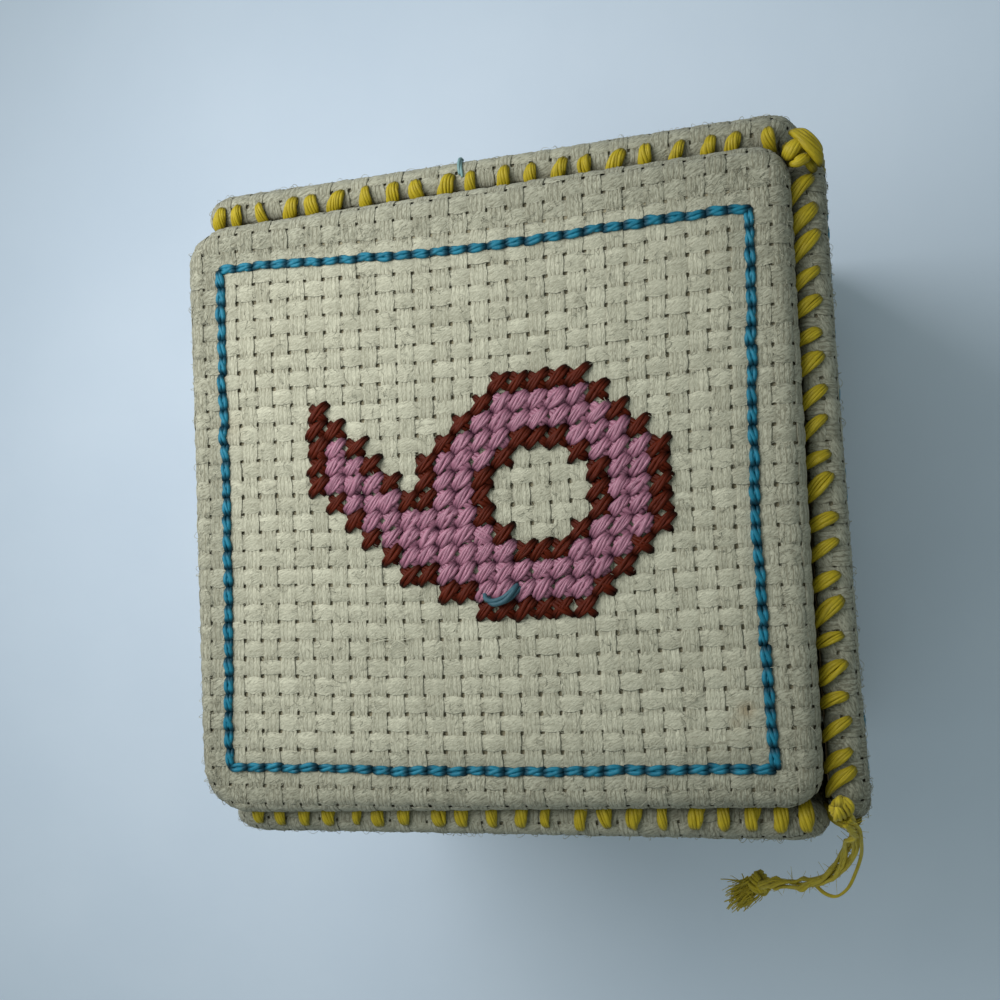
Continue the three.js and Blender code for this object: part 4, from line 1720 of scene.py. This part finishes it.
    def tuft(self, finish: Material) -> Piece:
        """Spreads the frayed fibres past the knot.

        Args:
            finish: the lighter mustard cotton, with painted light.

        Returns:
            The new piece.
        """
        rng = np.random.default_rng(TAIL_SEED + 3)
        count = 420
        share = np.linspace(0, 1, 9)[None, :, None]
        way = unit(np.array(self.tuft_way))
        fan = unit(way + rng.normal(0, 0.24, (count, 3)))[:, None]
        start = np.array(self.knot_place) + 0.7 * way + rng.normal(0, 0.5, (count, 1, 3))
        length = self.tuft_length * rng.uniform(0.5, 0.85, (count, 1, 1))
        curl = rng.normal(0, 0.5, (count, 1, 3)) * np.sin(3 * share + rng.uniform(0, 3, (count, 1, 1)))
        lines = start + (0.3 * way + 0.7 * fan) * length * share + curl * share
        radii = rng.uniform(0.06, 0.12, (count, 1)) * (1 - 0.4 * share[..., 0])
        mesh = ThreadMesh(strip_shape=12.0)
        mesh.add_strands(lines, radii, 4, rng)
        return mesh.build("frayed_tuft", finish, "mustard_cotton", "tail_tuft")

    def build(self, finish: Material) -> None:
        """Args:
            finish: the lighter mustard cotton, with painted light.
        """
        thread = self.cord(finish)
        beside = self.slipped_strand(finish)
        knot = self.knot("end_knot", "tail_knot", self.knot_place, (-1.0, -0.1, -0.3), 3.1, finish)
        start = self.knot("corner_loops", "corner_knot", self.corner_place, (0.9, -0.5, -0.3), 2.5, finish)
        tuft = self.tuft(finish)
        tuple(x * METRES for x in self.route[0])
        round(self.length * METRES, 4)
        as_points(self.line * METRES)


@dataclass(frozen=True)
class StrayThread:
    """A loose bit of thread on a panel.

    Its routes are squares across and down from the border's top left, and millimetres over the cloth.
    """

    name: str
    side: Side
    slot: str
    radius: float
    strands: int
    routes: tuple[tuple[Place, ...], ...]

    def build(self, sizes: CubeSizes, finish: Material) -> Piece:
        """Lays it on its panel.

        Args:
            sizes: the cube's sizes.
            finish: its cotton.

        Returns:
            The new piece.
        """
        panel, radius = Panel(self.side, sizes), self.radius
        mesh = ThreadMesh(strip_shape=14.0)
        rng = np.random.default_rng(len(self.name))
        twisted = 0.8 * radius * (self.strands > 1)
        for route in self.routes:
            across, down, height = rounded_route(route, 5).T
            lines = []
            for strand in range(self.strands):
                turn = strand * math.tau / self.strands + np.linspace(0, 2, len(across))
                wide = twisted * np.cos(turn) / panel.sizes.cell
                lines.append(panel.surface(across + wide, down + wide, height + twisted * np.sin(turn)))
            mesh.add_strands(np.array(lines), radius, 6, rng)
        return mesh.build(self.name, finish, self.slot)


BLUE_END = StrayThread(
    "stray_blue_end", Side.TOP, "blue_cotton", 0.3, 3,
    (
        (
            (14.5, 18.7, 0.5), (14.65, 18.95, 1.15), (14.9, 19.1, 1.35), (15.2, 19.1, 1.4),
            (15.55, 18.98, 1.4), (15.85, 18.75, 1.35), (16.1, 18.45, 1.1), (16.2, 18.3, 0.6),
        ),
    ),
)
PALE_BIT = StrayThread(
    "stray_pale_bit", Side.BACK, "blue_cotton", 0.2, 2,
    (((14.75, -3.2, 0.2), (14.8, -2.8, 0.45), (14.85, -2.3, 0.5), (14.9, -1.85, 0.25)),),
)
CURLS = StrayThread(
    "stray_curls", Side.TOP, "aida_cloth", 0.06, 1,
    (
        (
            (8.2, 21.2, 0.45), (8.9, 21.0, 0.6), (9.6, 21.0, 0.8), (10.2, 21.3, 0.9), (10.4, 21.9, 0.9),
            (10.0, 22.4, 0.8), (9.4, 22.3, 0.7), (9.2, 21.7, 0.6), (9.6, 21.1, 0.6), (10.5, 20.9, 0.45),
        ),
        (
            (23.6, 23.2, 0.4), (24.1, 23.3, 0.6), (24.6, 23.7, 0.7), (24.6, 24.3, 0.7), (24.1, 24.6, 0.6),
            (23.6, 24.3, 0.5), (23.4, 24.9, 0.4),
        ),
    ),
)


@dataclass
class FoamBlock:
    """The foam block that the six panels are sewn round."""

    sizes: CubeSizes
    points: int = 13
    rounding: float = 0.16
    hollow: float = 0.012

    def build(self, finish: Material) -> Piece:
        """Builds the block with soft edges and slightly hollow sides.

        Args:
            finish: the foam.

        Returns:
            The new piece.
        """
        count = self.points
        grid = np.linspace(-1, 1, count)
        first, second = np.meshgrid(grid, grid, indexing="ij")
        faces, places = [], []
        for axis in range(3):
            for sign in (-1.0, 1.0):
                sheet = np.zeros((count, count, 3))
                sheet[..., axis] = sign
                sheet[..., (axis + 1) % 3] = first
                sheet[..., (axis + 2) % 3] = second
                spots = len(places) * count**2 + np.arange(count**2).reshape(count, count)
                quads = np.stack([spots[:-1, :-1], spots[1:, :-1], spots[1:, 1:], spots[:-1, 1:]], axis=-1)
                quads = quads.reshape(-1, 4)
                faces.append(quads if sign > 0 else quads[:, ::-1])
                places.append(sheet.reshape(-1, 3))
        cube = np.concatenate(places)
        inner = 1 - self.rounding
        core = np.clip(cube, -inner, inner)
        near_edge = (np.abs(cube) > inner).any(axis=1, keepdims=True)
        soft = core + unit(cube - core + 1e-9 * cube) * self.rounding * near_edge
        hollow = np.prod(np.sort(1 - cube**2, axis=1)[:, 1:], axis=1, keepdims=True) * self.hollow
        block = soft * (1 - hollow) * self.sizes.foam_half + [0, 0, self.sizes.middle]
        mesh = bpy.data.meshes.new("foam_block")
        mesh.from_pydata((block * METRES).tolist(), [], np.concatenate(faces).tolist())
        mesh.polygons.foreach_set("use_smooth", np.ones(len(mesh.polygons), bool))
        mesh.materials.append(finish)
        piece = mounted(mesh, "foam", "foam_core")
        weld = piece.modifiers.new("weld", "WELD")
        weld.merge_threshold = 0.01 * METRES
        log.info("foam_block: %d faces", len(mesh.polygons))
        return piece


@dataclass
class Studio:
    """The camera at the photograph's angle, a plain pale table and soft light from the upper left."""

    camera_place: Place = (42.699, -9.506, 221.388)
    camera_turns: Place = (-0.062863, -0.279327, 0.066128)
    focal_share: float = 1.24435
    sensor: float = 36.0
    table_half: float = 1500.0
    lamp_place: Place = (-74.0, 50.0, 179.0)
    lamp_aim: Place = (-12.0, 6.0, 83.0)
    lamp_width: float = 132.0
    lamp_power: float = 0.237
    room_colour: int = 0xF1FFFD
    room_strength: float = 0.37

    def camera(self) -> None:
        """Sets the camera as the photograph was taken, almost straight down."""
        data = bpy.data.cameras.new("photo_camera")
        data.sensor_width = self.sensor
        data.lens = self.focal_share * self.sensor
        data.clip_start = 0.01
        data.clip_end = 20.0
        turned = Euler(self.camera_turns, "XYZ").to_matrix().transposed().to_4x4()
        camera = placed(data)
        camera.matrix_world = Matrix.Translation(Vector(self.camera_place) * METRES) @ turned
        bpy.context.scene.camera = camera

    def floor(self) -> None:
        """Lays the table top that the cube stands on."""
        half = self.table_half * METRES
        mesh = bpy.data.meshes.new("table_top")
        corners = [(-half, -half, 0), (half, -half, 0), (half, half, 0), (-half, half, 0)]
        mesh.from_pydata(corners, [], [(0, 1, 2, 3)])
        mesh.materials.append(Stuff.PAINTED_BOARD.material())
        placed(mesh)

    def light(self) -> None:
        """Lights the cube: a near square lamp at the upper left and an even room."""
        data = bpy.data.lights.new("window_lamp", "AREA")
        data.shape = "SQUARE"
        data.size = self.lamp_width * METRES
        data.energy = self.lamp_power
        lamp = placed(data)
        lamp.visible_camera = False
        place, aim = Vector(self.lamp_place), Vector(self.lamp_aim)
        lamp.location = place * METRES
        lamp.rotation_euler = (aim - place).to_track_quat("-Z", "Y").to_euler()
        world = bpy.data.worlds.new("room")
        world.use_nodes = True
        background = world.node_tree.nodes["Background"]
        background.inputs["Color"].default_value = linear(self.room_colour)
        background.inputs["Strength"].default_value = self.room_strength
        bpy.context.scene.world = world
        bpy.context.scene.view_settings.view_transform = "Standard"


def main() -> None:
    """Builds the studio and every piece of the cube in order."""
    logging.basicConfig(level=logging.INFO, format="%(name)s: %(message)s")
    studio = Studio()
    studio.camera()
    ThreadEnd().build(Cotton.LOOSENED_MUSTARD_COTTON.material())
    studio.floor()
    studio.light()
    sizes = CubeSizes.from_frame()
    cloth = Cotton.AIDA_COTTON.material()
    blue = Cotton.BLUE_STRANDED_COTTON.material()
    pink = Cotton.PINK_STRANDED_COTTON.material()
    brown = Cotton.BROWN_STRANDED_COTTON.material()
    lining = Stuff.SHADED_BACKING.material()
    wadding = Stuff.POLYESTER_WADDING.material()
    board = Stuff.GREY_BOARD.material()
    for side in Side:
        panel = Panel(side, sizes)
        cover = AidaCover(panel)
        cover.lining(lining)
        cover.weave(True, cloth)
        cover.weave(False, cloth)
        cover.lint(cloth)
        core = PanelCore(panel)
        core.wadding(wadding)
        core.card(board)
        BackstitchBorder(panel).build(blue)
        CrossStitchNumeral(panel).build(pink, brown)
    mustard = Cotton.MUSTARD_STRANDED_COTTON.material()
    for seam in SEAMS:
        WhippedSeam(seam, sizes).build(mustard)
    BLUE_END.build(sizes, Cotton.SOILED_BLUE_COTTON.material())
    PALE_BIT.build(sizes, Cotton.FADED_BLUE_COTTON.material())
    CURLS.build(sizes, cloth)
    FoamBlock(sizes).build(Stuff.UPHOLSTERY_FOAM.material())


if __name__ == "__main__":
    main()
